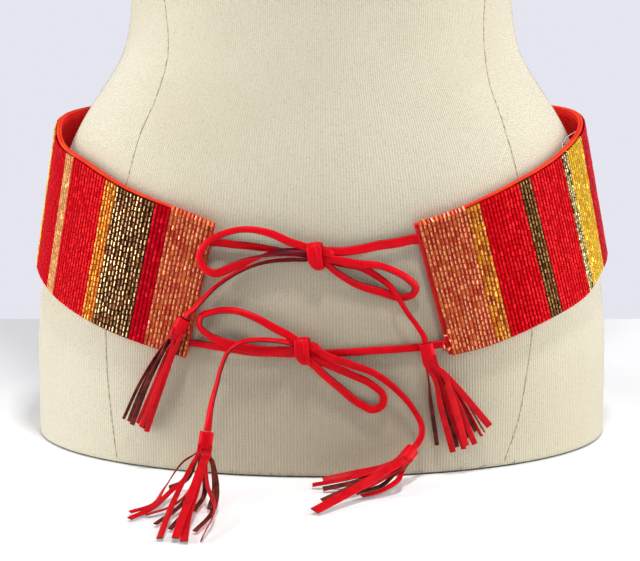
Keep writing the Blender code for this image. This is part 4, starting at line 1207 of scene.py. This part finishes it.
def make_seams(cover):
    tree = BVHTree.FromObject(cover, bpy.context.evaluated_depsgraph_get())
    back_sides = [[(sign * x, height) for x, height in BACK_SIDE_SEAM] for sign in (-1.0, 1.0)]
    lines = [traced(tree, seam_starts(table, -1.0), (0.0, 1.0, 0.0)) for table in FRONT_SEAMS]
    lines += [traced(tree, seam_starts(table, 1.0), (0.0, -1.0, 0.0)) for table in [BACK_SEAM, *back_sides]]
    for sign in (-1.0, 1.0):
        side = [(sign, 0.0, height) for height in np.arange(*SIDE_SEAM_HEIGHTS, SEAM_STEP)]
        lines.append(traced(tree, side, (-sign, 0.0, 0.0)))
        shoulder = [(sign * x, -0.004, 1.0) for x in np.arange(*SHOULDER_SEAM_X, SEAM_STEP)]
        lines.append(traced(tree, shoulder, (0.0, 0.0, -1.0)))
    colours = (0.76, 0.72, 0.62), (0.60, 0.56, 0.46)
    finish = plain_finish("seam_thread", 0.9, 0.2, (420.0, 1.0), (0.42, 0.58), colours, (0.0004, 0.6))
    threads = []
    for number, path in enumerate(lines):
        normals = np.array([tree.find_nearest(Vector(point))[1][:] for point in path])
        threads.append(swept_strip("seam_%d" % number, path, normals, SEAM_WIDTH, SEAM_DEPTH, finish))
    finished(join("cover_seams", threads), "canvas")


def make_base():
    """The board's own finish, and the frayed threads of the hem above it."""
    colours = (0.27, 0.29, 0.24), (0.42, 0.43, 0.36)
    dark = plain_finish("dark_board", 0.8, 0.3, (260.0, 4.0), (0.3, 0.7), colours, (0.0004, 0.6))
    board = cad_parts["form_base"].data
    board.materials.clear()
    board.materials.append(dark)
    frayed = []
    finish = thread_finish("frayed", (0.50, 0.50, 0.42), (0.34, 0.34, 0.27))
    for x in np.concatenate([np.linspace(*stretch) for stretch in FRAYED_AT]):
        start = on_front((x + chance.normal(0.0, 1.5), 2.6, 0.2))
        reach = chance.uniform(0.002, 0.006)
        lean = chance.normal(0.0, 0.5)
        end = start + np.array((reach * lean, -0.0012, -0.0014))
        bend = (start + end) / 2 + np.array((chance.normal(0.0, 0.0008), -0.0008, 0.0001))
        path = line_through([start, bend, end], 0.0006)
        frayed.append(swept_strip("fray", path, (0.0, -1.0, 0.2), 0.0003, 0.0003, finish))
    finished(join("frayed_threads", frayed), "canvas")


def make_thread_loop(glass):
    """The small loop of thread at the right end, with clear beads on it."""
    _, bottom, outward, down = belt.across(belt.length - 0.0015)
    along = np.cross(down, outward)
    middle = bottom - down * 0.0075 + outward * 0.0042
    loop = []
    for turn in np.linspace(0.0, 2 * math.pi, 26):
        reach = THREAD_LOOP * (1 + 0.22 * math.sin(3 * turn))
        spot = middle + along * (math.cos(turn) * reach * 0.6) + down * (math.sin(turn) * reach)
        loop.append(spot + outward * (0.0008 * math.sin(2 * turn)))
    path = line_through(loop, THREAD_STEP)
    red = thread_finish("red", (0.93, 0.12, 0.10), (0.72, 0.02, 0.05))
    finished(swept_strip("loop_thread", path, outward, 0.0007, 0.0006, red), "face_cloth")
    strung = range(2, len(path) - 4, 6)
    longs = [unit(path[index + 1] - path[index - 1]) for index in strung]
    places = [path[index] + outward * 0.0004 for index in strung]
    frames = [bead_frame(long, np.cross(long, outward), outward) for long in longs]
    rolls = chance.normal(0.5, 0.3, len(places))
    beads = strung_beads("loop_beads", places, frames, [LOOP_BEAD] * len(places), rolls, glass)
    finished(beads, "peach")


def make_white_thread():
    """The loose white thread on the lining, inside the top edge at the right."""
    right_side = belt.distance[np.abs(belt.top[:, 0] - WHITE_THREAD_X).argmin()]
    along, below, inside = np.array(WHITE_THREAD_BENDS).T / 1000.0
    top, _, outward, down = belt.crosswise(right_side + along)
    path = line_through(top + down * below[:, None] - outward * inside[:, None], THREAD_STEP)
    white = thread_finish("white", (0.95, 0.93, 0.90), (0.84, 0.82, 0.80))
    finished(swept_strip("white_thread", path, -outward[0], 0.0004, 0.0004, white), "lining")


def make_table():
    """A white table with a far edge."""
    bpy.ops.mesh.primitive_cube_add(size=1.0, location=TABLE_PLACE)
    table = bpy.context.active_object
    table.name = "table_top"
    table.scale = TABLE_SIZE
    bpy.ops.object.transform_apply(location=True, rotation=False, scale=True)
    edge = table.modifiers.new("edge", "BEVEL")
    edge.width = 0.004
    edge.segments = 3
    bpy.ops.object.modifier_apply(modifier="edge")
    white = Finish("white_table", 0.45, 0.0, 0.4)
    white.colour(white.fade(white.specks(6.0, 2.0), 0.3, 0.7, (0.985, 0.985, 0.985), (0.975, 0.975, 0.98)))
    table.data.materials.append(white.material)


def make_studio():
    """Pale surroundings, a wall colour for the camera, and large soft lights."""
    world = bpy.data.worlds.new("pale_studio")
    world.use_nodes = True
    nodes, links = world.node_tree.nodes, world.node_tree.links
    light = nodes["Background"]
    light.inputs["Color"].default_value = paint((0.925, 0.93, 0.965))
    light.inputs["Strength"].default_value = 0.44
    wall = nodes.new("ShaderNodeBackground")
    wall.inputs["Color"].default_value = paint((0.90, 0.90, 0.94))
    either = nodes.new("ShaderNodeMixShader")
    links.new(nodes.new("ShaderNodeLightPath").outputs["Is Camera Ray"], either.inputs[0])
    links.new(light.outputs[0], either.inputs[1])
    links.new(wall.outputs[0], either.inputs[2])
    links.new(either.outputs[0], nodes["World Output"].inputs["Surface"])
    bpy.context.scene.world = world
    for name, (place, size, power) in SOFT_LIGHTS.items():
        data = bpy.data.lights.new(name, "AREA")
        data.shape = "RECTANGLE"
        data.size, data.size_y = size
        data.energy = power
        lamp = bpy.data.objects.new(name, data)
        lamp.location = place
        aim = Vector(LIGHTS_AIM) - Vector(place)
        lamp.rotation_euler = aim.to_track_quat("-Z", "Y").to_euler()
        bpy.context.scene.collection.objects.link(lamp)
    bpy.context.scene.view_settings.view_transform = "Standard"
    bpy.context.scene.view_settings.look = "None"


make_camera()
make_bows()
edge_glass = make_belt()
form_cover = make_form()
make_seams(form_cover)
make_base()
make_thread_loop(edge_glass)
make_white_thread()
make_table()
make_studio()
